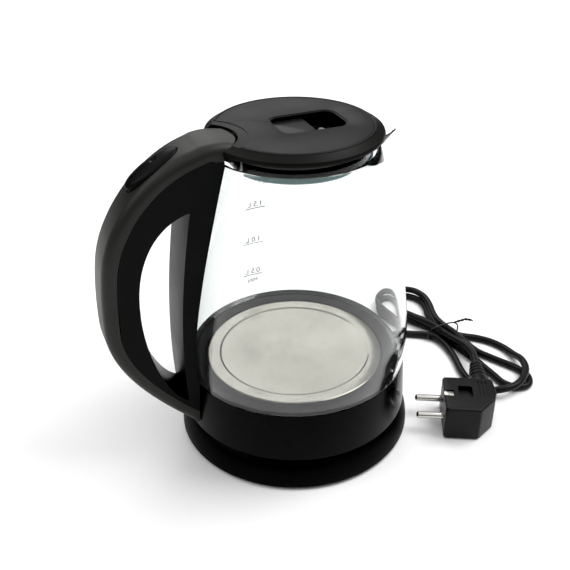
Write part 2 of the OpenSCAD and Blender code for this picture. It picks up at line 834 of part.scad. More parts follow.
module lid_plug() {
    floor_t = 1.8;
    flange_z = lid_low_z - 1.2;
    flange_t = 1.5;
    color("#0f0f10")
        difference() {
            union() {
                difference() {
                    union() {
                        translate([0, 0, plug_low_z]) cylinder(r = plug_r, h = flange_z + flange_t - plug_low_z);
                        translate([0, 0, flange_z]) cylinder(r = lid_r - lid_wall - 0.3, h = flange_t);
                    }
                    translate([0, 0, plug_low_z + floor_t]) cylinder(r = plug_r - 2.2, h = 20);
                    plug_rear_cut();
                }
                intersection() {
                    translate([plug_cut_x, -60, plug_low_z]) cube([2, 120, flange_z - plug_low_z]);
                    translate([0, 0, plug_low_z]) cylinder(r = plug_r, h = 12);
                }
                at_lid_screws() translate([0, 0, plug_low_z]) cylinder(r = 3.4, h = lid_low_z - plug_low_z);
            }
            tab_notch(plug_low_z + 4);
            tab_swing_room(plug_low_z + 4);
            at_lid_screws() translate([0, 0, plug_low_z - 1]) cylinder(r = 1.5, h = 20);
            at_lid_screws() translate([0, 0, plug_low_z - 1]) cylinder(r = 2.9, h = 2.2);
            translate([plug_r - 6, -5.5, plug_low_z + 3]) cube([8, 11, 2.7]);
        }
}

module lid_seal() {
    color("#9fc4c2")
        difference() {
            ring(plug_r + 1.2, plug_r + 0.05, plug_low_z + 0.4, plug_low_z + 2.8);
            plug_rear_cut();
        }
}

well_x0 = recess_x + 0.2;
well_x1 = recess_x + recess_l / 2;
well_floor_z = lid_top_z - 9.6;

module lid_well() {
    wall = 1.5;
    w = recess_w + 0.4;
    color("#0b0b0c") {
        difference() {
            translate([well_x0 - wall, -w / 2 - wall, well_floor_z - wall])
                cube([well_x1 - well_x0 + 2 * wall, w + 2 * wall, lid_top_z - lid_wall - 0.4 - well_floor_z + wall]);
            translate([well_x0, -w / 2, well_floor_z]) cube([well_x1 - well_x0, w, 20]);
            translate([well_x0 - wall - 1, -w / 2 - wall - 1, lid_top_z - 5.2]) cube([wall + 1, w + 2 * wall + 2, 6]);
        }
        intersection() {
            translate([well_x0 + 10.5, 0, well_floor_z - 2.5]) rotate([90, 0, 0]) cylinder(r = 6, h = 15, center = true);
            translate([well_x0, -10, well_floor_z - 0.1]) cube([20, 20, 6]);
        }
    }
}

module lid_screws() {
    color("#9a9a98")
        at_lid_screws() {
            translate([0, 0, plug_low_z + 0.1]) cylinder(r = 2.7, h = 1);
            translate([0, 0, plug_low_z + 1]) cylinder(r = 1.4, h = lid_low_z - plug_low_z + 2.6);
        }
}

// The finger plate of the lid's catch, with its bar and nose under the well
module latch_slider() {
    plate_top = lid_top_z - 2.8;
    plate_x0 = recess_x - recess_l / 2 - 0.6;
    bar_z = plug_low_z + 3.2;
    nose_x = rim_r - glass_t - 0.9;
    color("#55565a") {
        translate([plate_x0, -recess_w / 2 - 0.2, plate_top - 1.8]) cube([well_x0 + 1.6 - plate_x0, recess_w + 0.4, 1.8]);
        translate([plate_x0 + 1, -5, bar_z]) cube([2.4, 10, plate_top - 1.7 - bar_z]);
        translate([plate_x0 + 1, -5, bar_z]) cube([nose_x - plate_x0 - 1, 10, 2.2]);
    }
}

// ---- switch ----

module switch_rocker() {
    color("#26272a")
        rocker_frame() {
            difference() {
                translate([0, 0, -3]) linear_extrude(5.6) oval(rocker_l, rocker_w);
                translate([2.5, 0, 2]) cylinder(r = 3, h = 2);
                translate([-12.5, 0, 2.1]) cylinder(r = 1.1, h = 2);
            }
            translate([0, 0, -rocker_pivot_drop])
                rotate([90, 0, 0]) cylinder(r = rocker_pin_r, h = 2 * rocker_boss_y + 0.2, center = true);
        }
}

base_cover();
base_bottom();
base_spigot();
base_contacts();
base_feet();
base_screws();
cord_grommet();
cord_clamp();
base_leads();
power_cord();
plug_body();
plug_relief();
plug_pins();
plug_earth_clips();
twist_tie();
body_skirt();
bottom_cover();
bottom_screws();
plate_seal();
heater_plate();
heat_spreader();
heating_element();
thermostat_housing();
bimetal_discs();
socket_contacts();
glass_jug();
handle_outer();
handle_inner();
handle_screws();
steam_tube();
steam_switch();
handle_wires();
hinge_pin();
lid_cover();
lid_plug();
lid_seal();
lid_well();
lid_screws();
latch_slider();
switch_rocker();
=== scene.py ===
"""The looks of a cordless glass kettle on its power base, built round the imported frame."""

import json
import logging
import math
from dataclasses import dataclass
from enum import Enum
from typing import Callable, Iterable, Sequence

import bmesh
import bpy
from mathutils import Matrix, Vector

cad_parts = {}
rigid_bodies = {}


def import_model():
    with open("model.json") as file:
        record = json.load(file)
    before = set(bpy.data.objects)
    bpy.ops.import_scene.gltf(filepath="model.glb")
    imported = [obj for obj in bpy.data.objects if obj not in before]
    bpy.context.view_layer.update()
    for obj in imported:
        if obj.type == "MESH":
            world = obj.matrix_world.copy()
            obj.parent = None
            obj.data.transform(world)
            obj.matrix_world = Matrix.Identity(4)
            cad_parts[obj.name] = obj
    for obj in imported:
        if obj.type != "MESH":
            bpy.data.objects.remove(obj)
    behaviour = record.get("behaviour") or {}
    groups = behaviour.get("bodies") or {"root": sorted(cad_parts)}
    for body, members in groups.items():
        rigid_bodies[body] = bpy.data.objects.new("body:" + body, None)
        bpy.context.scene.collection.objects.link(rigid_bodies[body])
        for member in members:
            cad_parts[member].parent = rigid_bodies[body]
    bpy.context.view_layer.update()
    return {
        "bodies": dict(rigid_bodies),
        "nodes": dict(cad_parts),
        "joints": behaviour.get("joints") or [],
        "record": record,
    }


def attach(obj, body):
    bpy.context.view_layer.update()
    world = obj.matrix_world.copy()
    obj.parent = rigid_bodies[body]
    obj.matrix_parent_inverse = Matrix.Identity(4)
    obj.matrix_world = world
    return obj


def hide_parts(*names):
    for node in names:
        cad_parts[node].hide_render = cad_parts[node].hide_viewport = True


log = logging.getLogger("kettle")
logging.basicConfig(level=logging.INFO, format="%(message)s")

MM = 0.001
AROUND = 160
Point = tuple[float, float]
Place = tuple[float, float, float]
TO_X = Matrix.Rotation(math.pi / 2, 4, "Y")
TO_BACK = Matrix.Rotation(math.pi / 2, 4, "X")
LEAD_ANGLE = 33.0
LEAD_HEIGHT = 9.0


def shift(x: float, y: float, z: float) -> Matrix:
    """Returns a move given in mm."""
    return Matrix.Translation((x * MM, y * MM, z * MM))


def turned(degrees: float) -> Matrix:
    """Returns a turn about the Z axis."""
    return Matrix.Rotation(math.radians(degrees), 4, "Z")


# ---------------------------------------------------------------- finishes


class Pattern(Enum):
    """How a finish's fine detail runs over the surface."""

    GRAIN = "grain"
    RINGS = "rings"
    PLAIN = "plain"


def new_group(name: str, inputs: dict[str, str], outputs: dict[str, str]) -> bpy.types.NodeTree:
    """Makes an empty shader node group with named sockets.

    Args:
        name: the group's name.
        inputs: socket name to socket type.
        outputs: socket name to socket type.

    Returns:
        The group, holding its input and output nodes.
    """
    group = bpy.data.node_groups.new(name, "ShaderNodeTree")
    for direction, sockets in (("INPUT", inputs), ("OUTPUT", outputs)):
        for socket, kind in sockets.items():
            group.interface.new_socket(socket, in_out=direction, socket_type=kind)
    group.nodes.new("NodeGroupInput").name = "in"
    group.nodes.new("NodeGroupOutput").name = "out"
    return group


def add_noise(tree: bpy.types.NodeTree, vector: object, scale: object, detail: float) -> object:
    """Adds a noise texture and returns its value socket."""
    noise = tree.nodes.new("ShaderNodeTexNoise")
    noise.inputs["Detail"].default_value = detail
    tree.links.new(vector, noise.inputs["Vector"])
    if isinstance(scale, (int, float)):
        noise.inputs["Scale"].default_value = scale
    else:
        tree.links.new(scale, noise.inputs["Scale"])
    return noise.outputs["Fac"]


def add_range(tree: bpy.types.NodeTree, value: object, low: object, high: object) -> object:
    """Adds a map from the middle of a noise to the span low..high and returns its socket."""
    node = tree.nodes.new("ShaderNodeMapRange")
    node.inputs["From Min"].default_value = 0.3
    node.inputs["From Max"].default_value = 0.7
    tree.links.new(value, node.inputs["Value"])
    for name, limit in (("To Min", low), ("To Max", high)):
        if isinstance(limit, (int, float)):
            node.inputs[name].default_value = limit
        else:
            tree.links.new(limit, node.inputs[name])
    return node.outputs["Result"]


class SharedEffects:
    """The node groups that several finishes use, each built once."""

    def __init__(self) -> None:
        """Builds the groups."""
        self.grain = self._grain()
        self.drift = self._drift()
        self.sheen = self._sheen()
        self.rings = self._rings()

    @staticmethod
    def _grain() -> bpy.types.NodeTree:
        """Returns the group for a moulded surface: fine grain over a slow wave."""
        group = new_group(
            "moulded_grain",
            {"Vector": "NodeSocketVector", "Scale": "NodeSocketFloat"},
            {"Height": "NodeSocketFloat"},
        )
        source = group.nodes["in"].outputs
        fine = add_noise(group, source["Vector"], source["Scale"], 3.0)
        slow = add_noise(group, source["Vector"], 60.0, 1.0)
        join = group.nodes.new("ShaderNodeMath")
        join.operation = "MULTIPLY_ADD"
        join.inputs[1].default_value = 0.25
        group.links.new(slow, join.inputs[0])
        group.links.new(fine, join.inputs[2])
        group.links.new(join.outputs[0], group.nodes["out"].inputs["Height"])
        return group

    @staticmethod
    def _drift() -> bpy.types.NodeTree:
        """Returns the group for slow colour drift between two close tones."""
        group = new_group(
            "tone_drift",
            {"Vector": "NodeSocketVector", "Dark": "NodeSocketColor", "Light": "NodeSocketColor"},
            {"Color": "NodeSocketColor"},
        )
        source = group.nodes["in"].outputs
        mask = add_range(group, add_noise(group, source["Vector"], 45.0, 4.0), 0.0, 1.0)
        mix = group.nodes.new("ShaderNodeMix")
        mix.data_type = "RGBA"
        group.links.new(mask, mix.inputs["Factor"])
        group.links.new(source["Dark"], mix.inputs[6])
        group.links.new(source["Light"], mix.inputs[7])
        group.links.new(mix.outputs[2], group.nodes["out"].inputs["Color"])
        return group

    @staticmethod
    def _sheen() -> bpy.types.NodeTree:
        """Returns the group for patchy gloss, as handling leaves it."""
        group = new_group(
            "handled_gloss",
            {"Vector": "NodeSocketVector", "Low": "NodeSocketFloat", "High": "NodeSocketFloat"},
            {"Roughness": "NodeSocketFloat"},
        )
        source = group.nodes["in"].outputs
        patches = add_noise(group, source["Vector"], 28.0, 5.0)
        value = add_range(group, patches, source["Low"], source["High"])
        group.links.new(value, group.nodes["out"].inputs["Roughness"])
        return group

    @staticmethod
    def _rings() -> bpy.types.NodeTree:
        """Returns the group for brushing that runs in rings round the Z axis."""
        group = new_group(
            "ring_brushing",
            {"Vector": "NodeSocketVector", "Scale": "NodeSocketFloat"},
            {"Height": "NodeSocketFloat"},
        )
        source = group.nodes["in"].outputs
        flat = group.nodes.new("ShaderNodeVectorMath")
        flat.operation = "MULTIPLY"
        flat.inputs[1].default_value = (1.0, 1.0, 0.0)
        group.links.new(source["Vector"], flat.inputs[0])
        length = group.nodes.new("ShaderNodeVectorMath")
        length.operation = "LENGTH"
        group.links.new(flat.outputs["Vector"], length.inputs[0])
        noise = group.nodes.new("ShaderNodeTexNoise")
        noise.noise_dimensions = "1D"
        noise.inputs["Detail"].default_value = 4.0
        group.links.new(length.outputs["Value"], noise.inputs["W"])
        group.links.new(source["Scale"], noise.inputs["Scale"])
        group.links.new(noise.outputs["Fac"], group.nodes["out"].inputs["Height"])
        return group


@dataclass(frozen=True)
class Finish:
    """One surface finish: its two close tones, gloss, and fine relief."""

    name: str
    dark: tuple[float, float, float]
    light: tuple[float, float, float]
    gloss: tuple[float, float]
    metallic: float = 0.0
    transmission: float = 0.0
    ior: float = 1.5
    coat: float = 0.0
    specular: float = 0.16
    pattern: Pattern = Pattern.GRAIN
    scale: float = 2200.0
    relief: float = 0.12
    relief_mm: float = 0.03

    def build(self, effects: SharedEffects) -> bpy.types.Material:
        """Makes the material.

        Args:
            effects: the shared node groups.

        Returns:
            The finished material.
        """
        material = bpy.data.materials.new(self.name)
        material.use_nodes = True
        tree = material.node_tree
        shader = tree.nodes["Principled BSDF"]
        shader.inputs["Metallic"].default_value = self.metallic
        shader.inputs["Transmission Weight"].default_value = self.transmission
        shader.inputs["IOR"].default_value = self.ior
        shader.inputs["Coat Weight"].default_value = self.coat
        shader.inputs["Specular IOR Level"].default_value = self.specular
        shader.inputs["Coat Roughness"].default_value = 0.12
        place = tree.nodes.new("ShaderNodeTexCoord").outputs["Object"]
        self._link(tree, effects.drift, place, shader.inputs["Base Color"],
                   {"Dark": (*self.dark, 1.0), "Light": (*self.light, 1.0)})
        self._link(tree, effects.sheen, place, shader.inputs["Roughness"],
                   {"Low": self.gloss[0], "High": self.gloss[1]})
        if self.pattern is not Pattern.PLAIN:
            bump = tree.nodes.new("ShaderNodeBump")
            bump.inputs["Strength"].default_value = self.relief
            bump.inputs["Distance"].default_value = self.relief_mm * MM
            group = effects.rings if self.pattern is Pattern.RINGS else effects.grain
            self._link(tree, group, place, bump.inputs["Height"], {"Scale": self.scale})
            tree.links.new(bump.outputs["Normal"], shader.inputs["Normal"])
        return material

    @staticmethod
    def _link(
        tree: bpy.types.NodeTree,
        group: bpy.types.NodeTree,
        place: object,
        target: object,
        values: dict[str, object],
    ) -> None:
        """Places a shared group, sets its values and links its output to a socket."""
        node = tree.nodes.new("ShaderNodeGroup")
        node.node_tree = group
        for name, value in values.items():
            node.inputs[name].default_value = value
        tree.links.new(place, node.inputs["Vector"])
        tree.links.new(node.outputs[0], target)


FINISHES: tuple[Finish, ...] = (
    Finish("base_black", (0.0014, 0.0014, 0.0016), (0.0024, 0.0024, 0.0026), (0.34, 0.44), specular=0.03),
    Finish("skirt_black", (0.0014, 0.0014, 0.0017), (0.0024, 0.0024, 0.0027), (0.16, 0.24),
           specular=0.045, relief=0.05),
    Finish("inner_black", (0.0022, 0.0023, 0.0026), (0.0034, 0.0036, 0.0040), (0.30, 0.40), specular=0.07),
    Finish("handle_olive", (0.0135, 0.0138, 0.0112), (0.0175, 0.0178, 0.0150), (0.36, 0.46),
           specular=0.22, relief=0.2),
    Finish("lid_grey", (0.0048, 0.0049, 0.0045), (0.0066, 0.0067, 0.0062), (0.34, 0.42),
           specular=0.07, relief=0.16),
    Finish("catch_grey", (0.0050, 0.0050, 0.0052), (0.0070, 0.0070, 0.0073), (0.30, 0.38), specular=0.09),
    Finish("gloss_black", (0.0015, 0.0015, 0.0018), (0.0025, 0.0025, 0.0028), (0.06, 0.12),
           specular=0.3, relief=0.04),
    Finish("clear_glass", (0.945, 0.968, 0.960), (0.955, 0.974, 0.967), (0.0, 0.012), transmission=1.0,
           ior=1.47, specular=0.5, scale=14.0, relief=0.015, relief_mm=0.15),
    Finish("plate_steel", (0.205, 0.195, 0.172), (0.245, 0.234, 0.208), (0.13, 0.19), metallic=1.0,
           pattern=Pattern.RINGS, scale=2600.0, relief=0.01, relief_mm=0.002),
    Finish("screw_steel", (0.45, 0.45, 0.44), (0.58, 0.58, 0.57), (0.28, 0.42), metallic=1.0),
    Finish("pin_nickel", (0.52, 0.51, 0.48), (0.62, 0.61, 0.58), (0.10, 0.22), metallic=1.0, relief=0.05),
    Finish("aluminium", (0.60, 0.60, 0.61), (0.70, 0.70, 0.71), (0.35, 0.5), metallic=1.0),
    Finish("brass", (0.60, 0.42, 0.17), (0.72, 0.53, 0.24), (0.2, 0.35), metallic=1.0),
    Finish("seal_grey", (0.0075, 0.0073, 0.0068), (0.012, 0.0115, 0.0108), (0.45, 0.6), specular=0.1),
    # Light teal tint for the neck seal and the steam tube. On the neck seal it is partly painted highlight:
    # the teal stands in for the glass-tinted highlight line along the bung's lower edge.
    Finish("seal_and_painted_highlight", (0.22, 0.48, 0.50), (0.32, 0.58, 0.60), (0.25, 0.4),
           transmission=0.35, specular=0.4),
    Finish("foot_rubber", (0.006, 0.006, 0.006), (0.010, 0.010, 0.010), (0.65, 0.8), relief=0.3),
    Finish("sheath_black", (0.0042, 0.0042, 0.0045), (0.0066, 0.0066, 0.0070), (0.32, 0.42), relief=0.2),
    Finish("cream_resin", (0.62, 0.58, 0.49), (0.72, 0.68, 0.59), (0.4, 0.55)),
    Finish("wire_sleeve", (0.17, 0.05, 0.03), (0.25, 0.08, 0.05), (0.3, 0.45)),
    Finish("mark_grey", (0.060, 0.062, 0.062), (0.085, 0.087, 0.087), (0.5, 0.6), pattern=Pattern.PLAIN),
)


# ---------------------------------------------------------------- outlines


def cubic(a: Point, b: Point, c: Point, d: Point, steps: int) -> list[Point]:
    """Returns points of a cubic curve through a and d, drawn towards b and c."""
    points = []
    for i in range(steps + 1):
        t = i / steps
        s = 1 - t
        weights = (s * s * s, 3 * s * s * t, 3 * s * t * t, t * t * t)
        points.append(tuple(sum(w * p[k] for w, p in zip(weights, (a, b, c, d))) for k in (0, 1)))
    return points


def rounded(points: Sequence[Point], radius: float, closed: bool = True, steps: int = 4) -> list[Point]:
    """Rounds the corners of an outline.

    Args:
        points: the outline's corners.
        radius: the fillet's radius, cut down where an edge is too short.
        closed: whether the last point joins the first.
        steps: how many edges a fillet has.

    Returns:
        The outline with its fillets.
    """
    result: list[Point] = []
    count = len(points)
    for i, corner in enumerate(points):
        if not closed and i in (0, count - 1):
            result.append(tuple(corner))
            continue
        here = Vector(corner)
        before = Vector(points[i - 1]) - here
        after = Vector(points[(i + 1) % count]) - here
        turn = before.angle(after, math.pi)
        if math.pi - turn < math.radians(14):
            result.append(tuple(corner))
            continue
        reach = min(radius / math.tan(turn / 2), 0.45 * before.length, 0.45 * after.length)
        start = here + before.normalized() * reach
        end = here + after.normalized() * reach
        for k in range(steps + 1):
            t = k / steps
            blend = start * (1 - t) ** 2 + here * 2 * t * (1 - t) + end * t * t
            result.append((blend.x, blend.y))
    return result


def inset_line(line: Sequence[Point], depth: float) -> list[Point]:
    """Returns a line moved sideways by a depth, to the left of its direction."""
    moved = []
    last = len(line) - 1
    for i, point in enumerate(line):
        along = Vector(line[min(i + 1, last)]) - Vector(line[max(i - 1, 0)])
        side = Vector((-along.y, along.x)).normalized()
        moved.append((point[0] + side.x * depth, point[1] + side.y * depth))
    return moved


def runs_along(edge: bmesh.types.BMEdge, line: Sequence[Point], reach: float = 0.05) -> bool:
    """Tells whether both ends of an edge lie on a side outline, and the edge runs with it.

    Args:
        edge: an edge of a slab that was extruded along Y.
        line: the outline as (x, z) in mm.
        reach: how far off the line still counts, in mm.

    Returns:
        True for an edge along the outline.
    """
    first, second = (v.co / MM for v in edge.verts)
    if abs(first.y - second.y) > 0.5 * (first - second).length:
        return False
    for end in (first, second):
        point = Vector((end.x, end.z))
        gaps = []
        for a, b in zip(line, line[1:]):
            start, along = Vector(a), Vector(b) - Vector(a)
            share = min(1.0, max(0.0, (point - start).dot(along) / max(along.length_squared, 1e-9)))
            gaps.append((start + along * share - point).length)
        if min(gaps) > reach:
            return False
    return True


# ---------------------------------------------------------------- mesh work


class Workshop:
    """Turns outlines into finished pieces and puts them on their bodies."""

    def __init__(self, frame: dict) -> None:
        """Builds the finishes.
        """
        effects = SharedEffects()
        self.frame = frame
        self.materials = {finish.name: finish.build(effects) for finish in FINISHES}

    @staticmethod
    def lathe(profile: Sequence[Point], steps: int = AROUND) -> bmesh.types.BMesh:
        """Spins a closed outline of (radius, height) in mm about the Z axis.

        Args:
            profile: the outline's points.
            steps: how many facets go round.

        Returns:
            The closed solid.
        """
        shape = bmesh.new()
        verts = [shape.verts.new((r * MM, 0.0, z * MM)) for r, z in profile]
        edges = [shape.edges.new((verts[i - 1], verts[i])) for i in range(len(verts))]
        bmesh.ops.spin(shape, geom=verts + edges, cent=(0, 0, 0), axis=(0, 0, 1), dvec=(0, 0, 0),
                       angle=2 * math.pi, steps=steps, use_merge=True, use_duplicate=False)
        bmesh.ops.remove_doubles(shape, verts=shape.verts[:], dist=1e-6)
        bmesh.ops.dissolve_degenerate(shape, dist=1e-7, edges=shape.edges[:])
        bmesh.ops.recalc_face_normals(shape, faces=shape.faces[:])
        return shape

    @staticmethod
    def prism(outline: Sequence[Point], low: float, high: float) -> bmesh.types.BMesh:
        """Extrudes an outline in mm from one height to another."""
        shape = bmesh.new()
        face = shape.faces.new([shape.verts.new((x * MM, y * MM, low * MM)) for x, y in outline])
        made = bmesh.ops.extrude_face_region(shape, geom=[face])
        top = [g for g in made["geom"] if isinstance(g, bmesh.types.BMVert)]
        bmesh.ops.translate(shape, vec=(0, 0, (high - low) * MM), verts=top)
        bmesh.ops.recalc_face_normals(shape, faces=shape.faces[:])
        return shape

    @staticmethod
    def soften(shape: bmesh.types.BMesh, radius: float, steps: int = 3, angle: float = 40.0,
               keep: Callable[[bmesh.types.BMEdge], bool] | None = None, clamp: bool = True) -> None:
        """Bevels the sharp edges of a shape.

        Args:
            shape: the mesh to change.
            radius: the bevel's width in mm.
            steps: its segments.
            angle: the least angle, in degrees, of an edge that counts as sharp.
            keep: a test that picks which sharp edges to bevel.
            clamp: whether short neighbours hold the bevel back.
        """
        sharp = [e for e in shape.edges if len(e.link_faces) == 2
                 and e.calc_face_angle(0.0) > math.radians(angle) and (keep is None or keep(e))]
        bmesh.ops.bevel(shape, geom=sharp, offset=radius * MM, segments=steps, profile=0.5,
                        affect="EDGES", clamp_overlap=clamp, material=-1)

    @staticmethod
    def place(shape: bmesh.types.BMesh, matrix: Matrix) -> bmesh.types.BMesh:
        """Moves a whole shape by a matrix and returns it."""
        bmesh.ops.transform(shape, matrix=matrix, verts=shape.verts[:])
        if matrix.determinant() < 0:
            bmesh.ops.reverse_faces(shape, faces=shape.faces[:])
        return shape

    @staticmethod
    def join(shapes: Iterable[bmesh.types.BMesh]) -> bmesh.types.BMesh:
        """Puts several shapes in one mesh and returns it."""
        whole = bmesh.new()
        for shape in shapes:
            mesh = bpy.data.meshes.new("part")
            shape.to_mesh(mesh)
            shape.free()
            whole.from_mesh(mesh)
            bpy.data.meshes.remove(mesh)
        return whole

    def carve(self, shape: bmesh.types.BMesh, cutters: Iterable[bmesh.types.BMesh],
              operation: str = "DIFFERENCE") -> bmesh.types.BMesh:
        """Cuts solids from a shape, one after the other, and returns the result."""
        for cutter in cutters:
            body = self._object("carved", shape)
            tool = self._object("cutter", cutter)
            modifier = body.modifiers.new("carve", "BOOLEAN")
            modifier.operation = operation
            modifier.solver = "MANIFOLD"
            modifier.object = tool
            graph = bpy.context.evaluated_depsgraph_get()
            shape = bmesh.new()
            mesh = bpy.data.meshes.new_from_object(body.evaluated_get(graph))
            shape.from_mesh(mesh)
            bmesh.ops.remove_doubles(shape, verts=shape.verts[:], dist=2e-6)
            bpy.data.meshes.remove(mesh)
            for item in (body, tool):
                bpy.data.objects.remove(item)
        return shape

    @staticmethod
    def _object(name: str, shape: bmesh.types.BMesh) -> bpy.types.Object:
        """Turns a shape into a linked object and frees it."""
        mesh = bpy.data.meshes.new(name)
        shape.to_mesh(mesh)
        shape.free()
        item = bpy.data.objects.new(name, mesh)
        bpy.context.scene.collection.objects.link(item)
        return item

    def finish(self, name: str, shape: bmesh.types.BMesh, material: str, body: str, slot: str,
               nodes: Sequence[str] = (), sharp: float = 32.0) -> bpy.types.Object:
        """Makes the object, dresses it and puts it on its body.

        Args:
            name: the piece's name.
            shape: its mesh, which is freed.
            material: the finish it takes.
            body: the CAD body that it rides on.
            slot: the record's material slot; not used.
            nodes: the CAD nodes that it stands for.
            sharp: the angle, in degrees, over which an edge stays crisp.

        Returns:
            The finished object.
        """
        item = self._object(name, shape)
        item.data.shade_smooth()
        item.data.set_sharp_from_angle(angle=math.radians(sharp))
        item.data.materials.append(self.materials[material])
        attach(item, body)
        if nodes:
            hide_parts(*nodes)
        log.info("%s: %d faces", name, len(item.data.polygons))
        return item

    def dress(self, **finishes: str) -> None:
        """Gives carried-over CAD nodes their finishes, as node=finish."""
        for node, material in finishes.items():
            data = self.frame["nodes"][node].data
            data.materials.clear()
            data.materials.append(self.materials[material])

    @staticmethod
    def taken(item: bpy.types.Object) -> bmesh.types.BMesh:
        """Returns the final mesh of a helper object, which is removed."""
        graph = bpy.context.evaluated_depsgraph_get()
        shape = bmesh.new()
        shape.from_mesh(bpy.data.meshes.new_from_object(item.evaluated_get(graph)))
        bpy.data.objects.remove(item)
        return shape


# ---------------------------------------------------------------- studio


@dataclass
class Studio:
    """The pale floor, the soft lights and the camera."""

    camera_place: Place = (-184.1, -433.7, 392.5)
    camera_pitch: float = 31.2
    lens: float = 52.5
    shift: float = -0.0165
    floor_size: float = 5.0
    paper_tone: float = 0.93
    paper_rough: float = 0.75
    wall_light: float = 0.05
    wall_top: float = 0.36
    ceiling: float = 0.80
    sky_strength: float = 1.16
    black_level: float = 0.002

    def camera(self) -> None:
        """Makes the camera at the viewing place."""
        data = bpy.data.cameras.new("camera")
        data.lens = self.lens
        data.sensor_width = 36.0
        data.shift_x = self.shift
        data.clip_start = 0.01
        item = bpy.data.objects.new("camera", data)
        bpy.context.scene.collection.objects.link(item)
        item.location = Vector(self.camera_place) * MM
        level = Vector((-self.camera_place[0], -self.camera_place[1], 0)).normalized()
        pitch = math.radians(self.camera_pitch)
        aim = level * math.cos(pitch) - Vector((0, 0, math.sin(pitch)))
        item.rotation_euler = aim.to_track_quat("-Z", "Y").to_euler()
        bpy.context.scene.camera = item

    def light(self, name: str, place: Place, aim: Place, size: float, power: float) -> None:
        """Adds one square soft light, placed in metres and turned to a point."""
        data = bpy.data.lights.new(name, "AREA")
        data.shape = "SQUARE"
        data.size = size
        data.energy = power
        item = bpy.data.objects.new(name, data)
        bpy.context.scene.collection.objects.link(item)
        item.location = place
        item.rotation_euler = (Vector(aim) - Vector(place)).to_track_quat("-Z", "Y").to_euler()

    def sky(self, tree: bpy.types.NodeTree) -> None:
        """Makes the room: bright overhead, dim at the height of the walls."""
        place = tree.nodes.new("ShaderNodeTexCoord").outputs["Generated"]
        parts = tree.nodes.new("ShaderNodeSeparateXYZ")
        tree.links.new(place, parts.inputs[0])
        ramp = tree.nodes.new("ShaderNodeValToRGB")
        tree.links.new(parts.outputs["Z"], ramp.inputs[0])
        ramp.color_ramp.elements[0].color = (*[self.wall_light] * 3, 1)
        ramp.color_ramp.elements[0].position = self.wall_top
        ramp.color_ramp.elements[1].color = (1, 1, 1, 1)
        ramp.color_ramp.elements[1].position = self.ceiling
        back = tree.nodes["Background"]
        tree.links.new(ramp.outputs[0], back.inputs["Color"])
        back.inputs["Strength"].default_value = self.sky_strength

    def build(self) -> None:
        """Makes the floor, world and lights."""
        shape = bmesh.new()
        bmesh.ops.create_grid(shape, x_segments=1, y_segments=1, size=self.floor_size / 2)
        mesh = bpy.data.meshes.new("floor")
        shape.to_mesh(mesh)
        shape.free()
        floor = bpy.data.objects.new("floor", mesh)
        bpy.context.scene.collection.objects.link(floor)
        paper = bpy.data.materials.new("floor_paper")
        paper.use_nodes = True
        shader = paper.node_tree.nodes["Principled BSDF"]
        shader.inputs["Base Color"].default_value = (*[self.paper_tone] * 3, 1)
        shader.inputs["Roughness"].default_value = self.paper_rough
        mesh.materials.append(paper)
        world = bpy.data.worlds.new("studio")
        world.use_nodes = True
        self.sky(world.node_tree)
        bpy.context.scene.world = world
        middle = (0.0, 0.0, 0.1)
        self.light("key_light", (0.75, -0.2, 1.3), middle, 0.8, 13.0)
        self.light("back_light", (0.25, 1.3, 1.1), middle, 1.0, 7.0)
        self.light("left_light", (-1.4, 0.2, 1.2), middle, 0.9, 5.0)
        view = bpy.context.scene.view_settings
        view.view_transform = "Standard"
        view.use_curve_mapping = True
        view.curve_mapping.black_level = (self.black_level,) * 3
        view.curve_mapping.update()


# ---------------------------------------------------------------- mains lead


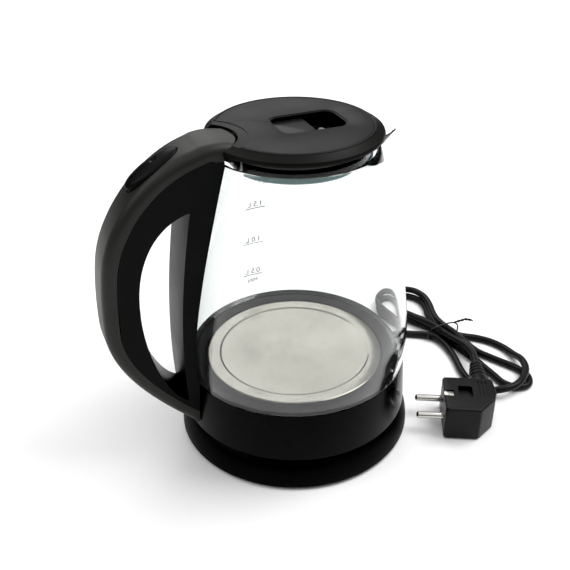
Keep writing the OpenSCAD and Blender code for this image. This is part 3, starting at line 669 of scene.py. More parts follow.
@dataclass
class MainsLead:
    """The free lead with its tie, strain reliefs and plug, in mm."""

    diameter: float = 5.5
    plug_at: Point = (92.0, -52.0)
    plug_turn: float = 153.0
    plug_height: float = 26.6
    pin_height: float = 13.4
    pin_length: float = 19.0
    pin_gap: float = 19.0
    base_radius: float = 80.0
    relief_at: Point = (-29.0, -15.0)
    pin_root: float = -6.0
    tie_at: Point = (148.0, 37.0)
    route: tuple[Place, ...] = (
        (83.95, 54.52, 9), (92, 59.8, 8.4), (101, 62, 6), (110, 60, 4), (118, 54, 3), (126, 49, 2.8),
        (134, 44, 3.2), (140, 38, 3.7), (142.5, 28, 3.6), (142, 16, 3), (140, 5, 2.8), (137, -6, 2.8),
        (135, -17, 2.8), (135.5, -28, 2.8), (140, -39, 4.2), (148, -46, 7.6), (159, -47, 9),
        (169, -42, 9.2), (178, -33, 9.2), (183, -21, 8), (185, -8, 4), (184, 4, 2.8), (179, 15, 2.8),
        (171, 24, 2.8), (162, 30, 3.2), (155, 37, 3.9), (152, 47, 3.4), (151, 58, 2.8), (153, 69, 2.8),
        (157, 80, 2.8), (158, 92, 2.8), (152, 102, 2.8), (141, 105, 2.8), (131, 99, 2.8),
        (127, 88, 2.8), (130, 76, 2.8), (136, 65, 2.8), (142, 54, 3.2), (147, 43, 3.6), (149, 32, 3.6),
        (150, 21, 3.2), (152, 10, 2.8), (154, -2, 2.8), (155, -14, 2.8), (156, -25, 2.8),
        (157, -35, 2.8), (163, -43, 2.8), (173, -44, 2.8), (179, -36, 2.8), (178, -25, 2.8),
        (173, -15, 2.8), (167, -4, 2.8), (161, 7, 3.4), (156, 18, 7), (153, 29, 9.7), (151, 40, 9.8),
        (151, 52, 9.2), (154, 64, 8.5), (158, 76, 8.5), (160, 89, 8.5), (156, 101, 8.5),
        (145, 107, 8.5), (133, 103, 8.5), (127, 93, 8.5), (129, 80, 8.5), (134, 68, 8.5),
        (140, 56, 8.8), (144, 44, 9.6), (146, 32, 9.6), (149, 20, 9.8), (151, 8, 10.8), (149, -4, 12.2),
        (145.4, -11.2, 13.2), (141.75, -18.3, 13.4),
    )
    steps: int = 5

    def centreline(self) -> list[Vector]:
        """Returns a smooth line through the route's points, in metres."""
        points = [Vector(p) * MM for p in self.route]
        ends = [points[0] * 2 - points[1]] + points + [points[-1] * 2 - points[-2]]
        line = []
        for i in range(1, len(ends) - 2):
            a, b, c, d = ends[i - 1:i + 3]
            for k in range(self.steps):
                t = k / self.steps
                line.append(0.5 * (2 * b + (c - a) * t + (2 * a - 5 * b + 4 * c - d) * t * t
                                   + (3 * b - a - 3 * c + d) * t * t * t))
        return line + [points[-1]]

    def tube(self, name: str, points: Sequence[Vector], radius: float) -> bpy.types.Object:
        """Makes a round curve along points, both in metres."""
        data = bpy.data.curves.new(name, "CURVE")
        data.dimensions = "3D"
        data.bevel_depth = radius
        data.bevel_resolution = 5
        data.use_fill_caps = True
        spline = data.splines.new("POLY")
        spline.points.add(len(points) - 1)
        for point, place in zip(spline.points, points):
            point.co = (*place, 1.0)
        spline.use_smooth = True
        item = bpy.data.objects.new(name, data)
        bpy.context.scene.collection.objects.link(item)
        return item

    def plug_frame(self) -> Matrix:
        """Returns the plug's own frame, its pins along +X."""
        return shift(*self.plug_at, 0) @ turned(self.plug_turn)

    def relief_frame(self) -> Matrix:
        """Returns the strain relief's place in the plug's frame."""
        return shift(*self.relief_at, self.pin_height) @ TO_BACK

    def pin_frame(self, side: int) -> Matrix:
        """Returns one pin's place in the plug's frame, for side -1 or 1."""
        return shift(self.pin_root, side * self.pin_gap / 2, self.pin_height) @ TO_X

    def make_cord(self, shop: Workshop) -> bpy.types.Object:
        """Makes the lead itself."""
        cord = self.tube("mains_cord", self.centreline(), self.diameter / 2 * MM)
        cord.data.materials.append(shop.materials["sheath_black"])
        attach(cord, "power_base")
        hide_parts("power_cord")
        return cord

    def make_relief(self, shop: Workshop) -> bpy.types.Object:
        """Makes the plug's ribbed strain relief."""
        rings: list[Point] = [(0, 0), (6.2, 0), (6.2, 3.5), (8.9, 3.6), (9.0, 5.0), (8.3, 12.0),
                              (7.6, 16.4)]
        for i in range(4):
            z = 18 + i * 4.6
            proud = 7.45 - (z - 16.5) * 0.152
            rings += [(proud, z), (proud - 1.1, z + 0.1), (proud - 1.2, z + 1.5),
                      (proud - 0.25, z + 1.6), (proud - 0.35, z + 3.0)]
        rings += [(4.6, 36.2), (3.9, 37.4), (0, 37.4)]
        shape = shop.lathe(rounded(rings, 0.45), 64)
        shop.place(shape, self.plug_frame() @ self.relief_frame())
        return shop.finish("plug_strain_relief", shape, "sheath_black", "power_base", "cord_pvc",
                           ["plug_relief"])

    def make_plug(self, shop: Workshop) -> list[bpy.types.Object]:
        """Makes the plug's body, pins and earth clips."""
        corners = [(0, -18.5), (0, 18.5), (-24, 18.5), (-35, 5), (-37, -3), (-35.5, -18.5)]
        body = shop.prism(rounded(corners, 3.0, steps=5), 0.3, self.plug_height)
        shop.soften(body, 1.7, 4, 60)
        cutters = []
        for side in (-1, 1):
            well = shop.lathe(rounded([(0, 0), (2.5, 0), (2.5, 8), (0, 8)], 0.05), 40)
            cutters.append(shop.place(well, self.pin_frame(side)))
        neck = shop.lathe([(0, 0), (6.3, 0), (6.3, 10), (0, 10)], 48)
        cutters.append(shop.place(neck, self.relief_frame()))
        pocket = rounded([(-20, -8), (-10, -8), (-10, 4), (-20, 4)], 1.2)
        cutters.append(shop.prism(pocket, self.plug_height - 3.6, 40))
        for low, high in ((-2, 2.6), (self.plug_height - 2.3, 40)):
            cutters.append(shop.prism([(-7, -3), (3, -3), (3, 3), (-7, 3)], low, high))
        for i in range(3):
            x = -30.5 + i * 2.6
            cutters.append(shop.prism(rounded([(x, -14), (x + 1.2, -14), (x + 1.2, 2), (x, 2)], 0.5),
                                      self.plug_height - 0.7, 40))
        body = shop.carve(body, cutters)
        shop.place(body, self.plug_frame())
        pieces = [shop.finish("plug_shell", body, "sheath_black", "power_base", "cord_pvc",
                              ["plug_body"])]
        reach = self.pin_length + 6
        pin_line = [(0, 0), (2.4, 0), (2.4, reach - 1.4), (1.9, reach - 0.45), (0.9, reach), (0, reach)]
        pins = []
        for side in (-1, 1):
            pin = shop.lathe(rounded(pin_line, 0.5), 40)
            pins.append(shop.place(pin, self.plug_frame() @ self.pin_frame(side)))
        pieces.append(shop.finish("contact_pins", shop.join(pins), "pin_nickel", "power_base", "nickel",
                                  ["plug_pins"]))
        clips = []
        for low in (0.9, self.plug_height - 1.2):
            clip = shop.prism([(-6.6, -2.4), (-0.2, -2.4), (-0.2, 2.4), (-6.6, 2.4)], low, low + 0.7)
            shop.soften(clip, 0.2, 2)
            clips.append(shop.place(clip, self.plug_frame()))
        pieces.append(shop.finish("earth_clips", shop.join(clips), "pin_nickel", "power_base", "nickel",
                                  ["plug_earth_clips"]))
        return pieces

    def make_tie(self, shop: Workshop) -> bpy.types.Object:
        """Makes the wire tie round the hank, with its twisted ends."""
        x, y = self.tie_at
        loop = []
        for i in range(49):
            angle = 2 * math.pi * i / 48
            across, up = (math.copysign(abs(f) ** 0.75, f) for f in (math.cos(angle), math.sin(angle)))
            loop.append(Vector((x + 14.0 * across, y + 0.5 * math.sin(2 * angle), 7.3 + 6.7 * up)) * MM)
        band = self.tube("band", loop, 0.6 * MM)
        ends = []
        for lead in (0.0, math.pi):
            path = []
            for i in range(41):
                t = i / 40
                twist = lead + 16 * t
                near = Vector((158, 37.4, 13.0)).lerp(Vector((169, 37, 13.6)), min(1.0, t * 1.6))
                if t > 0.62:
                    near = Vector((169, 37, 13.6)).lerp(Vector((175, 36.2, 11.4)), (t - 0.62) / 0.38)
                wide = 0.62 * min(1.0, 6 * t)
                path.append((near + Vector((0, wide * math.cos(twist), wide * math.sin(twist)))) * MM)
            ends.append(self.tube("end", path, 0.55 * MM))
        shapes = [shop.taken(item) for item in [band] + ends]
        return shop.finish("wire_tie", shop.join(shapes), "gloss_black", "power_base", "cord_pvc",
                           ["twist_tie"])

    def make_grommet(self, shop: Workshop) -> bpy.types.Object:
        """Makes the tapered strain relief where the lead leaves the base."""
        r = self.base_radius
        line = [(0, r - 8), (5.4, r - 8), (5.4, r - 5.8), (4.6, r - 5.8), (4.6, r + 1), (5.8, r + 1),
                (5.9, r + 3)]
        for i in range(4):
            z = r + 4.5 + 3.4 * i
            proud = 5.6 - 0.42 * i
            line += [(proud, z), (proud - 0.8, z + 0.1), (proud - 0.85, z + 1.1), (proud - 0.1, z + 1.2)]
        line += [(3.7, r + 20), (0, r + 20)]
        shape = shop.lathe(rounded(line, 0.35), 48)
        shop.place(shape, turned(LEAD_ANGLE) @ shift(0, 0, LEAD_HEIGHT) @ TO_X)
        return shop.finish("lead_grommet", shape, "sheath_black", "power_base", "cord_pvc",
                           ["cord_grommet"])

    def build(self, shop: Workshop) -> None:
        cord = self.make_cord(shop)
        pieces = [self.make_relief(shop), *self.make_plug(shop), self.make_tie(shop)]
        self.make_grommet(shop)


# ---------------------------------------------------------------- power base


@dataclass
class PowerBase:
    """The round base with its connector and feet, in mm."""

    radius: float = 80.0
    top_radius: float = 70.0
    top: float = 21.6
    wall: float = 2.4
    foot: float = 1.2
    foot_ring: float = 66.0
    spigot: float = 16.0

    def cover_line(self) -> list[Point]:
        """Returns the cover's closed section."""
        rise = self.top - 3
        flank = [(self.top_radius + (self.radius - self.top_radius) * math.cos(math.radians(a)),
                  3 + rise * math.sin(math.radians(a))) for a in range(0, 76, 5)]
        low = self.foot + 0.8
        inner = [(r - self.wall, min(z, self.top - self.wall - 0.6)) for r, z in reversed(flank)]
        return ([(self.radius - 0.5, low)] + flank
                + [(self.top_radius - 1, self.top), (self.spigot + 0.9, self.top),
                   (self.spigot + 0.1, self.top - 0.8),
                   (self.spigot + 0.1, self.top - self.wall), (self.top_radius - 3, self.top - self.wall)]
                + inner + [(self.radius - self.wall, low)])

    def build(self, shop: Workshop) -> None:
        """Makes the base's pieces."""
        cover = shop.lathe(rounded(self.cover_line(), 0.5))
        mouth = shop.lathe([(0, 68), (4.7, 68), (4.7, 90), (0, 90)], 48)
        shop.place(mouth, turned(LEAD_ANGLE) @ shift(0, 0, LEAD_HEIGHT) @ TO_X)
        cover = shop.carve(cover, [mouth])
        shop.finish("base_shell", cover, "base_black", "power_base", "black_plastic", ["base_cover"])
        top = 36.0
        slots = [(12.7, top), (12.7, 26), (10.3, 26), (10.3, top), (8.0, top), (8.0, 26), (5.8, 26),
                 (5.8, top), (2.8, top), (2.8, 24)]
        line = [(0, 12), (self.spigot, 12), (self.spigot, top - 0.8), (self.spigot - 0.8, top), *slots,
                (0, 24)]
        shop.finish("connector_tower", shop.lathe(rounded(line, 0.4), 96), "base_black", "power_base",
                    "black_plastic", ["base_spigot"])
        feet = [shop.lathe(rounded([(0, 0), (8.9, 0), (8.9, self.foot), (0, self.foot)], 0.4), 40)]
        for angle in (30, 120, 210, 300):
            foot = shop.lathe(rounded([(0, 0), (6.9, 0), (6.9, self.foot), (0, self.foot)], 0.4), 40)
            feet.append(shop.place(foot, turned(angle) @ shift(self.foot_ring, 0, 0)))
        shop.finish("rubber_feet", shop.join(feet), "foot_rubber", "power_base", "feet_rubber", ["base_feet"])
        shop.dress(base_bottom="base_black", base_contacts="brass", base_screws="screw_steel",
                   cord_clamp="inner_black", base_leads="wire_sleeve")


# ---------------------------------------------------------------- jug


@dataclass
class GlassJug:
    """The glass jug with its skirt, plate and seals, in mm."""

    skirt_low: Point = (76.8, 23.0)
    skirt_top: Point = (75.0, 57.4)
    wall: float = 2.4
    ledge: float = 52.0
    plate_radius: float = 60.4
    plate_step: float = 51.0
    plate_top: float = 57.0
    dish: float = 0.8
    glass_wall: float = 3.0
    foot_radius: float = 72.3
    rim: Point = (52.4, 206.2)
    spout_reach: float = 70.0
    spout_depth: float = 15.0
    spout_spread: float = 0.29
    marks: tuple[tuple[float, str], ...] = ((77.0, "0.5 L"), (105.0, "1.0 L"), (136.0, "1.5 L"))

    def outside(self, steps: int = 44) -> list[Point]:
        """Returns the glass's outer line, foot to rim."""
        low = (self.skirt_top[0], self.skirt_top[1] + 0.2)
        return cubic(low, (low[0] + 5, low[1] + 27.8), (self.rim[0] + 16.1, self.rim[1] - 66), self.rim,
                     steps)

    def inner_radius(self, height: float) -> float:
        """Returns the glass's inner radius at a height."""
        line = self.outside(80)
        best = min(line, key=lambda p: abs(p[1] - height))
        return best[0] - self.glass_wall

    def pour(self, shape: bmesh.types.BMesh) -> None:
        """Pulls the rim out into the spout at +X."""
        low = self.rim[1] - self.spout_depth
        for vert in shape.verts:
            height = vert.co.z / MM
            if height <= low:
                continue
            angle = math.atan2(vert.co.y, vert.co.x)
            if abs(angle) >= self.spout_spread:
                continue
            share = angle / self.spout_spread
            side = (1 - share * share) ** 2.4
            rise = (height - low) / self.spout_depth
            pull = (self.spout_reach - self.rim[0]) * side * rise ** 1.75
            radius = math.hypot(vert.co.x, vert.co.y)
            scale = (radius + pull * MM) / radius
            narrow = 1 - 0.25 * side * rise
            vert.co.x *= scale
            vert.co.y *= scale * narrow

    def make_glass(self, shop: Workshop) -> None:
        """Makes the glass with its rim and spout."""
        outside = self.outside()
        inside = [(r - self.glass_wall, z) for r, z in reversed(outside)]
        foot_in = self.foot_radius - self.glass_wall
        rim_r, rim_z = self.rim
        bead = [(rim_r - 0.35, rim_z - 0.45), (rim_r - 0.9, rim_z - 0.08), (rim_r - 1.5, rim_z),
                (rim_r - 2.1, rim_z - 0.08), (rim_r - 2.65, rim_z - 0.45)]
        line = ([(foot_in, self.ledge), (self.foot_radius, self.ledge),
                 (self.foot_radius, self.skirt_top[1] + 0.1)]
                + outside[:-1] + bead + inside[1:-1] + [(foot_in, self.skirt_top[1] + 0.4)])
        shape = shop.lathe(line, 288)
        self.pour(shape)
        shop.finish("jug_glass", shape, "clear_glass", "kettle", "glass", ["glass_jug"], sharp=50)

    def make_marks(self, shop: Workshop) -> None:
        """Prints the level marks on the wall at +Y, to be read from outside."""
        words = [(height, text, 6.2) for height, text in self.marks] + [(69.3, "MIN", 4.6)]
        shapes = []
        for height, text, size in words:
            data = bpy.data.curves.new("mark", "FONT")
            data.body = text
            data.size = size * MM
            data.align_x = "CENTER"
            data.extrude = 0.03 * MM
            item = bpy.data.objects.new("mark", data)
            bpy.context.scene.collection.objects.link(item)
            shape = shop.taken(item)
            if text != "MIN":
                for x in range(-8, 8):
                    bar = bmesh.ops.create_cube(shape, size=1.0)
                    bmesh.ops.scale(shape, vec=(1.0 * MM, 0.55 * MM, 0.06 * MM), verts=bar["verts"])
                    bmesh.ops.translate(shape, vec=((x + 0.5) * MM, -1.3 * MM, 0), verts=bar["verts"])
            for vert in shape.verts:
                across, up, out = vert.co
                level = height * MM + up
                radius = (self.inner_radius(level / MM) + self.glass_wall + 0.05) * MM + out
                turn = 0.04 + across / radius
                vert.co = (-radius * math.sin(turn), radius * math.cos(turn), level)
            shapes.append(shape)
        shop.finish("level_marks", shop.join(shapes), "mark_grey", "kettle", "glass")

    def build(self, shop: Workshop) -> None:
        """Makes the jug's pieces."""
        (low_r, low_z), (top_r, top_z) = self.skirt_low, self.skirt_top
        in_low, in_top = low_r - self.wall, top_r - self.wall
        seat = self.foot_radius + 0.2
        skirt = [(low_r - 0.1, low_z), (low_r, low_z + 0.6), (top_r + 0.1, top_z - 0.4), (top_r - 0.3, top_z),
                 (seat, top_z), (seat, self.ledge), (61, self.ledge), (61, self.ledge - 2.5),
                 (in_top - 0.6, self.ledge - 2.5), (in_low, low_z)]
        shop.finish("skirt", shop.lathe(rounded(skirt, 0.4), 192), "skirt_black", "kettle", "gloss_black",
                    ["body_skirt"])
        seal = [(60.5, self.ledge), (69.2, self.ledge), (69.2, 57.0), (68.4, 57.25), (61.5, 57.25),
                (60.5, 56.9)]
        shop.finish("plate_gasket", shop.lathe(rounded(seal, 0.3), 192), "seal_grey", "kettle", "silicone",
                    ["plate_seal"])
        self.make_plate(shop)
        self.make_glass(shop)
        self.make_marks(shop)
        shop.dress(bottom_cover="base_black", bottom_screws="screw_steel", heat_spreader="aluminium",
                   heating_element="screw_steel", thermostat_housing="cream_resin", bimetal_discs="brass",
                   socket_contacts="brass", hinge_pin="screw_steel")

    def make_plate(self, shop: Workshop) -> None:
        """Makes the steel heater plate with its pressed step."""
        top, edge, step = self.plate_top, self.plate_radius, self.plate_step
        low = top - self.dish
        upper = [(0, low), (step - 1.2, low), (step - 0.4, low + 0.1), (step + 0.9, top - 0.1),
                 (step + 1.8, top), (edge - 1.0, top), (edge - 0.25, top - 0.3), (edge, top - 1)]
        lower = [(edge, top - 7), (edge - 1.2, top - 7), (edge - 1.2, top - 1.6), (step + 1.4, top - 1.2),
                 (step - 0.6, low - 1.2), (0, low - 1.2)]
        shop.finish("steel_plate", shop.lathe(rounded(upper + lower, 0.3), 192), "plate_steel", "kettle",
                    "steel", ["heater_plate"])


# ---------------------------------------------------------------- handle


@dataclass
class Handle:
    """The two-shell loop handle with its rocker switch, in mm."""

    tab_end: float = -38.5
    tab_low: float = 209.65
    tab_half: float = 17.0
    tab_round: float = 22.0
    grip_half: float = 14.0
    reach: float = 128.0
    rim: float = 206.2
    seam: float = 8.5
    edge: float = 6.2
    rocker_at: Place = (-88.5, 0.0, 205.7)
    rocker_tilt: float = 31.0
    rocker_size: Point = (37.0, 18.0)
    rocker_gap: float = 0.6
    crown: float = 3.4

    def outer_line(self) -> list[Point]:
        """Returns the handle's outer line, tab to foot, as (x, z)."""
        g, r = self.reach, self.rim
        line = [(self.tab_end, r + 11.4)]
        line += cubic((-46, r + 12.6), (-52, r + 13.6), (-57, r + 13.6), (-62, r + 12.4), 6)
        line += cubic((-66, r + 11), (5 - g * 0.7, r + 6), (20 - g, r - 10), (7 - g, r - 41), 16)
        line += cubic((5 - g, r - 47), (2 - g, r - 56), (-g, r - 76), (-g, 110), 10)
        line += cubic((-g, 106), (0.5 - g, 84), (16 - g, 57), (-77, 26.5), 16)
        return line

    def hole_line(self) -> list[Point]:
        """Returns the outline of the opening for the hand."""
        g, r = self.reach, self.rim
        line = cubic((-72, r - 25), (-92, r - 30), (23 - g, r - 51), (22 - g, r - 81), 16)
        line += cubic((22 - g, 122), (21 - g, 95), (31 - g, 56), (-81, 47), 16)
        line += cubic((-81.4, 50), (-84, 92), (-80, r - 71), (-72.4, r - 28), 14)
        return rounded(line, 3.5, steps=6)

    def half_width(self, x: float) -> float:
        """Returns half the handle's width at a place along X."""
        share = min(1.0, max(0.0, (-x - 50) / 70))
        ease = share * share * (3 - 2 * share)
        return self.tab_half + (self.grip_half - self.tab_half) * ease

    def slab(self, shop: Workshop, outline: Sequence[Point]) -> bmesh.types.BMesh:
        """Extrudes a side outline to the handle's tapering width."""
        shape = shop.prism(outline, -1000.0, 1000.0)
        for x in range(-124, -48, 6):
            bmesh.ops.bisect_plane(shape, geom=shape.verts[:] + shape.edges[:] + shape.faces[:],
                                   plane_co=(x * MM, 0, 0), plane_no=(1, 0, 0), dist=1e-7)
        for vert in shape.verts:
            x, z, side = vert.co
            width = self.half_width(x / MM) * MM
            vert.co = (x, math.copysign(width, side), z)
        bmesh.ops.recalc_face_normals(shape, faces=shape.faces[:])
        return shape

    def clearance(self, shop: Workshop, jug: GlassJug) -> bmesh.types.BMesh:
        """Makes the solid that the handle stays clear of."""
        gap = 0.25
        line = [(0, 15), (jug.skirt_low[0] + gap + 0.1, 15), (jug.skirt_low[0] + gap, jug.skirt_low[1]),
                (jug.skirt_top[0] + gap, jug.skirt_top[1] + 0.3)]
        line += [(r + gap, z) for r, z in jug.outside()]
        line += [(jug.rim[0] + gap, self.tab_low - 0.05), (0, self.tab_low - 0.05)]
        return shop.lathe(line, 224)

    def tab_cutter(self, shop: Workshop) -> bmesh.types.BMesh:
        """Makes the solid that rounds the tab's end as seen from above."""
        radius, middle = self.tab_round, self.tab_end - self.tab_round
        top = math.degrees(math.asin(20.0 / radius))
        arc = [(middle + radius * math.cos(math.radians(a)), radius * math.sin(math.radians(a)))
               for a in [top * (1 - i / 18) for i in range(37)]]
        corners = [(-30, 26), (arc[0][0], 26)] + arc + [(arc[-1][0], -26), (-30, -26)]
        return shop.prism(corners, 195, 235)

    def rocker_frame(self) -> Matrix:
        """Returns the rocker's own frame on the sloping top."""
        tilt = Matrix.Rotation(math.radians(-self.rocker_tilt), 4, "Y")
        return Matrix.Translation(Vector(self.rocker_at) * MM) @ tilt

    def oval(self, length: float, width: float, steps: int = 64) -> list[Point]:
        """Returns the outline of the rocker's oval."""
        angles = [2 * math.pi * i / steps for i in range(steps)]
        return [(length / 2 * math.cos(a), width / 2 * math.sin(a)) for a in angles]

    def make_outer(self, shop: Workshop, jug: GlassJug) -> None:
        """Makes the outer shell with its tab and the rocker's slot."""
        line = self.outer_line()
        inner = inset_line(line, self.seam)
        back = [p for p in inner if p[0] < -57]
        outline = [(self.tab_end, self.tab_low)] + line + list(reversed(back)) + [(-55, self.tab_low)]
        shape = self.slab(shop, outline)
        shop.soften(shape, self.edge, 8, 60, lambda e: runs_along(e, line), clamp=False)
        slot = shop.prism(self.oval(self.rocker_size[0] + 2 * self.rocker_gap,
                                    self.rocker_size[1] + 2 * self.rocker_gap), -7.5, 12)
        shop.place(slot, self.rocker_frame())
        shape = shop.carve(shape, [self.clearance(shop, jug), self.tab_cutter(shop), slot])
        shop.finish("handle_shell", shape, "handle_olive", "kettle", "handle_plastic", ["handle_outer"],
                    sharp=28)

    def make_inner(self, shop: Workshop, jug: GlassJug) -> None:
        """Makes the inner shell: strap, grip's inside and foot."""
        line = inset_line(self.outer_line(), self.seam + 0.15)
        back = [p for p in line if p[0] < -56]
        under = self.tab_low - 0.3
        outline = [(-48, under), (-55, under)] + back + [(-60, 27), (-40, 100)]
        shape = self.slab(shop, outline)
        hole = shop.prism(self.hole_line(), -40, 40)
        shop.place(hole, TO_BACK)
        shape = shop.carve(shape, [hole])
        rim = self.hole_line()
        shop.soften(shape, 2.6, 5, 60, lambda e: runs_along(e, rim + rim[:1]))
        shape = shop.carve(shape, [self.clearance(shop, jug)])
        shop.finish("handle_liner", shape, "inner_black", "kettle", "black_plastic", ["handle_inner"],
                    sharp=28)

    def make_rocker(self, shop: Workshop) -> None:
        """Makes the crowned rocker with its ring dimple and its end dimple."""
        length, width = self.rocker_size
        shape = bmesh.new()
        bmesh.ops.create_uvsphere(shape, u_segments=96, v_segments=48, radius=1.0)
        bmesh.ops.bisect_plane(shape, geom=shape.verts[:] + shape.edges[:] + shape.faces[:], dist=1e-6,
                               plane_co=(0, 0, 0), plane_no=(0, 0, 1), clear_inner=True)
        bmesh.ops.scale(shape, vec=(length / 2 * MM, width / 2 * MM, self.crown * MM), verts=shape.verts[:])
        rim = [edge for edge in shape.edges if edge.is_boundary]
        side = bmesh.ops.extrude_edge_only(shape, edges=rim)["geom"]
        low = [item for item in side if isinstance(item, bmesh.types.BMVert)]
        bmesh.ops.translate(shape, vec=(0, 0, -3.0 * MM), verts=low)
        around = [item for item in side if isinstance(item, bmesh.types.BMEdge)]
        bmesh.ops.contextual_create(shape, geom=around)
        bmesh.ops.recalc_face_normals(shape, faces=shape.faces[:])
        top = self.crown
        ring = [(0, top - 0.9), (1.2, top - 0.9), (3.7, top + 0.6), (3.7, 9), (0, 9)]
        dish = shop.lathe(rounded(ring, 0.6), 48)
        shop.place(dish, shift(4.0, 0, 0))
        dimple = shop.lathe(rounded([(0, top - 1.5), (0.9, top - 1.5), (1.4, 9), (0, 9)], 0.3), 32)
        shop.place(dimple, shift(-12.0, 0, 0))
        shape = shop.carve(shape, [dish, dimple])
        half = self.rocker_size[1] / 2 + self.rocker_gap + 2.1
        axle = shop.lathe(rounded([(0, -half), (1.6, -half), (1.6, half), (0, half)], 0.2), 32)
        shop.place(axle, shift(0, 0, -2.2) @ TO_BACK)
        shape = shop.join([shape, axle])
        shop.place(shape, self.rocker_frame())
        shop.finish("rocker", shape, "inner_black", "rocker", "black_plastic", ["switch_rocker"],
                    sharp=28)

    def build(self, shop: Workshop, jug: GlassJug) -> None:
        """Makes the handle's pieces."""
        self.make_outer(shop, jug)
        self.make_inner(shop, jug)
        self.make_rocker(shop)
        shop.dress(handle_screws="screw_steel", steam_tube="seal_and_painted_highlight", steam_switch="cream_resin",
                   handle_wires="wire_sleeve")


# ---------------------------------------------------------------- lid


@dataclass
class Lid:
    """The hinged lid with its plug, seal, finger well and catch, in mm."""

    radius: float = 54.3
    ridge: float = 49.0
    low: float = 213.6
    ear_low: float = 210.6
    edge: float = 216.8
    top: float = 219.3
    wall: float = 2.2
    plug: float = 46.4
    plug_low: float = 199.7
    plug_cut: float = -41.0
    recess_x: float = 9.0
    recess: Point = (42.0, 28.4)
    recess_round: float = 8.0
    lip: float = 1.1
    collar: float = 6.0
    notch: float = 1.5

    @staticmethod
    def box(x0: float, x1: float, y0: float, y1: float) -> list[Point]:
        """Returns a rectangle's corners."""
        return [(x0, y0), (x1, y0), (x1, y1), (x0, y1)]

    def recess_line(self, grow: float = 0.0) -> list[Point]:
        """Returns the recess's rounded outline, or the same grown all round."""
        half_l, half_w = self.recess[0] / 2 + grow, self.recess[1] / 2 + grow
        corners = self.box(self.recess_x - half_l, self.recess_x + half_l, -half_w, half_w)
        return rounded(corners, self.recess_round + grow, steps=8)

    def notch_solid(self, shop: Workshop, handle: Handle, low: float, grow: float = 0.0) -> bmesh.types.BMesh:
        """Makes the room for the handle's tab, or the same outline grown all round."""
        radius, middle = handle.tab_round + self.notch + grow, handle.tab_end - handle.tab_round
        half = handle.tab_half + self.notch + grow
        top = math.asin(half / radius)
        angles = [top * (1 - i / 20) for i in range(41)]
        arc = [(middle + radius * math.cos(a), radius * math.sin(a)) for a in angles]
        return shop.prism([(-80, half)] + arc + [(-80, -half)], low, 240)

    def make_cover(self, shop: Workshop, handle: Handle) -> None:
        """Makes the lid's cover with its notch, recess and hinge ears."""
        bead = [(self.ridge - 1.5, self.top - 0.25), (self.ridge - 0.9, self.top + 0.12),
                (self.ridge - 0.3, self.top + 0.12), (self.ridge, self.top - 0.4)]
        outer = [(0, self.top), (self.ridge - 2.0, self.top), *bead,
                 (self.radius - 1.8, self.edge), (self.radius - 0.5, self.edge - 0.6),
                 (self.radius, self.edge - 1.8), (self.radius, self.low + 0.4), (self.radius - 0.3, self.low)]
        inner = [(self.radius - self.wall, self.low), (self.radius - self.wall, self.edge - 2.6),
                 (self.ridge - 0.4, self.top - self.wall - 0.3), (0, self.top - self.wall)]
        shape = shop.lathe(rounded(outer + inner, 0.3), 224)
        collar = self.notch_solid(shop, handle, self.top - 0.35, self.collar)
        step = shop.prism(self.recess_line(self.lip), self.top - 0.45, 230)
        hole = shop.prism(self.recess_line(), 205, 230)
        shape = shop.carve(shape, [collar, step, self.notch_solid(shop, handle, 200), hole])
        shop.soften(shape, 0.45, 3, 50)
        ears = []
        for side in (-1, 1):
            y = side * (handle.tab_half + self.notch + 1.9)
            ear = shop.prism(rounded(self.box(-51, -41.3, y - 1.9, y + 1.9), 0.4), self.ear_low,
                             self.edge - 1)
            within = self.box(0, self.radius - 0.6, self.ear_low - 1, self.top)
            ears.append(shop.carve(ear, [shop.lathe(within, 128)], "INTERSECT"))
        shape = shop.join([shape, *ears])
        shop.finish("lid_shell", shape, "lid_grey", "lid", "lid_plastic", ["lid_cover"], sharp=24)

    def make_plug(self, shop: Workshop, handle: Handle) -> None:
        """Makes the part of the lid that sits in the neck."""
        floor = 1.8
        flange = self.low - 1.2
        line = [(0, self.plug_low), (self.plug, self.plug_low), (self.plug, flange), (51.8, flange),
                (51.8, flange + 1.5), (self.plug - 2.2, flange + 1.5),
                (self.plug - 2.2, self.plug_low + floor), (0, self.plug_low + floor)]
        shape = shop.lathe(rounded(line, 1.0), 224)
        rear = shop.prism(self.box(-95, self.plug_cut, -60, 60), self.plug_low - 4, self.top)
        slot = shop.prism(self.box(self.plug - 6, self.plug + 2, -5.5, 5.5), self.plug_low + 3,
                          self.plug_low + 5.7)
        end, half = handle.tab_end + self.notch, handle.tab_half + self.notch
        swing = shop.prism(self.box(end - 12, end, -half, half), self.plug_low + 4, 240)
        shape = shop.carve(shape, [rear, self.notch_solid(shop, handle, self.plug_low + 4), swing, slot])
        shop.soften(shape, 0.5, 3, 50)
        half = math.sqrt(self.plug ** 2 - self.plug_cut ** 2) - 0.8
        back = shop.prism(self.box(self.plug_cut + 0.05, self.plug_cut + 2, -half, half),
                          self.plug_low + 0.2, self.plug_low + 4)
        shop.soften(back, 0.2, 2)
        shop.finish("lid_bung", shop.join([shape, back]), "gloss_black", "lid", "gloss_black",
                    ["lid_plug"], sharp=28)
        low = self.plug_low
        lip = [(self.plug + 0.1, low + 0.5), (self.plug + 0.9, low + 0.7), (self.plug + 1.2, low + 1.6),
               (self.plug + 0.9, low + 2.5), (self.plug + 0.1, low + 2.7)]
        seal = shop.lathe(rounded(lip, 0.3), 224)
        behind = shop.prism(self.box(-95, self.plug_cut, -60, 60), 190, 215)
        seal = shop.carve(seal, [behind])
        # The seal is a real part, but its light teal finish is partly painted highlight: it draws the teal
        # line seen through the glass along the bung's lower edge.
        shop.finish("neck_seal", seal, "seal_and_painted_highlight", "lid", "clear_silicone", ["lid_seal"])

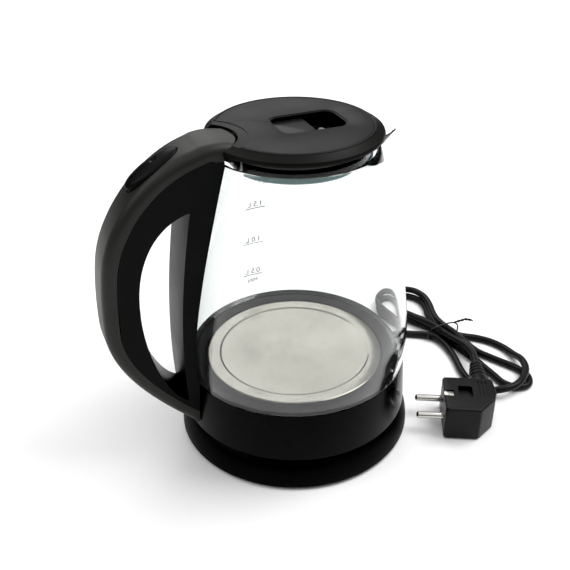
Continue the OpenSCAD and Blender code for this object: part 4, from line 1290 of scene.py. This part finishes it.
    def make_well(self, shop: Workshop) -> None:
        """Makes the dark finger well with its rounded stop."""
        x0, x1 = self.recess_x + 0.2, self.recess_x + self.recess[0] / 2
        half = self.recess[1] / 2 + 0.2
        floor = self.top - 9.6
        tub = shop.prism(rounded(self.box(x0 - 1.5, x1 + 1.5, -half - 1.5, half + 1.5), 4.5, steps=6),
                         floor - 1.5, self.top - self.wall - 0.02)
        inside = shop.prism(rounded(self.box(x0, x1, -half, half), 3.4, steps=6), floor, 240)
        way = shop.prism(self.box(x0 - 4, x0 + 4, -half + 0.1, half - 0.1), self.top - 5.2, 240)
        tub = shop.carve(tub, [inside, way])
        shop.soften(tub, 0.4, 3, 50)
        stop = shop.lathe(rounded([(0, -7.5), (6, -7.5), (6, 7.5), (0, 7.5)], 1.4), 64)
        shop.place(stop, shift(x0 + 10.5, 0, floor - 2.5) @ TO_BACK)
        keep = shop.prism(self.box(x0, x1, -12, 12), floor - 0.1, 230)
        stop = shop.carve(stop, [keep], "INTERSECT")
        shop.finish("finger_well", shop.join([tub, stop]), "gloss_black", "lid", "gloss_black",
                    ["lid_well"])

    def make_catch(self, shop: Workshop) -> None:
        """Makes the sliding finger plate with its bar."""
        top = self.top - 2.8
        x0 = self.recess_x - self.recess[0] / 2 - 0.6
        x1 = self.recess_x + 0.2 + 1.6
        half = self.recess[1] / 2 + 0.2
        bar = self.plug_low + 3.2
        plate = shop.prism(rounded(self.box(x0, x1, -half, half), 0.6), top - 1.8, top)
        shop.soften(plate, 0.5, 3)
        arm = shop.prism(self.box(x0 + 1, x0 + 3.4, -5, 5), bar + 2.2, top - 1.7)
        rod = shop.prism(self.box(x0 + 1, 48.5, -5, 5), bar, bar + 2.2)
        shop.soften(rod, 0.3, 2)
        shop.finish("catch_plate", shop.join([plate, arm, rod]), "catch_grey", "lid_latch", "lid_plastic",
                    ["latch_slider"])

    def build(self, shop: Workshop, handle: Handle) -> None:
        """Makes the lid's pieces."""
        self.make_cover(shop, handle)
        self.make_plug(shop, handle)
        self.make_well(shop)
        self.make_catch(shop)
        shop.dress(lid_screws="screw_steel")


def main() -> None:
    """Builds the whole scene round the frame."""
    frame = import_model()
    studio = Studio()
    studio.camera()
    shop = Workshop(frame)
    MainsLead().build(shop)
    studio.build()
    PowerBase().build(shop)
    jug = GlassJug()
    jug.build(shop)
    handle = Handle()
    handle.build(shop, jug)
    Lid().build(shop, handle)


if __name__ == "__main__":
    main()
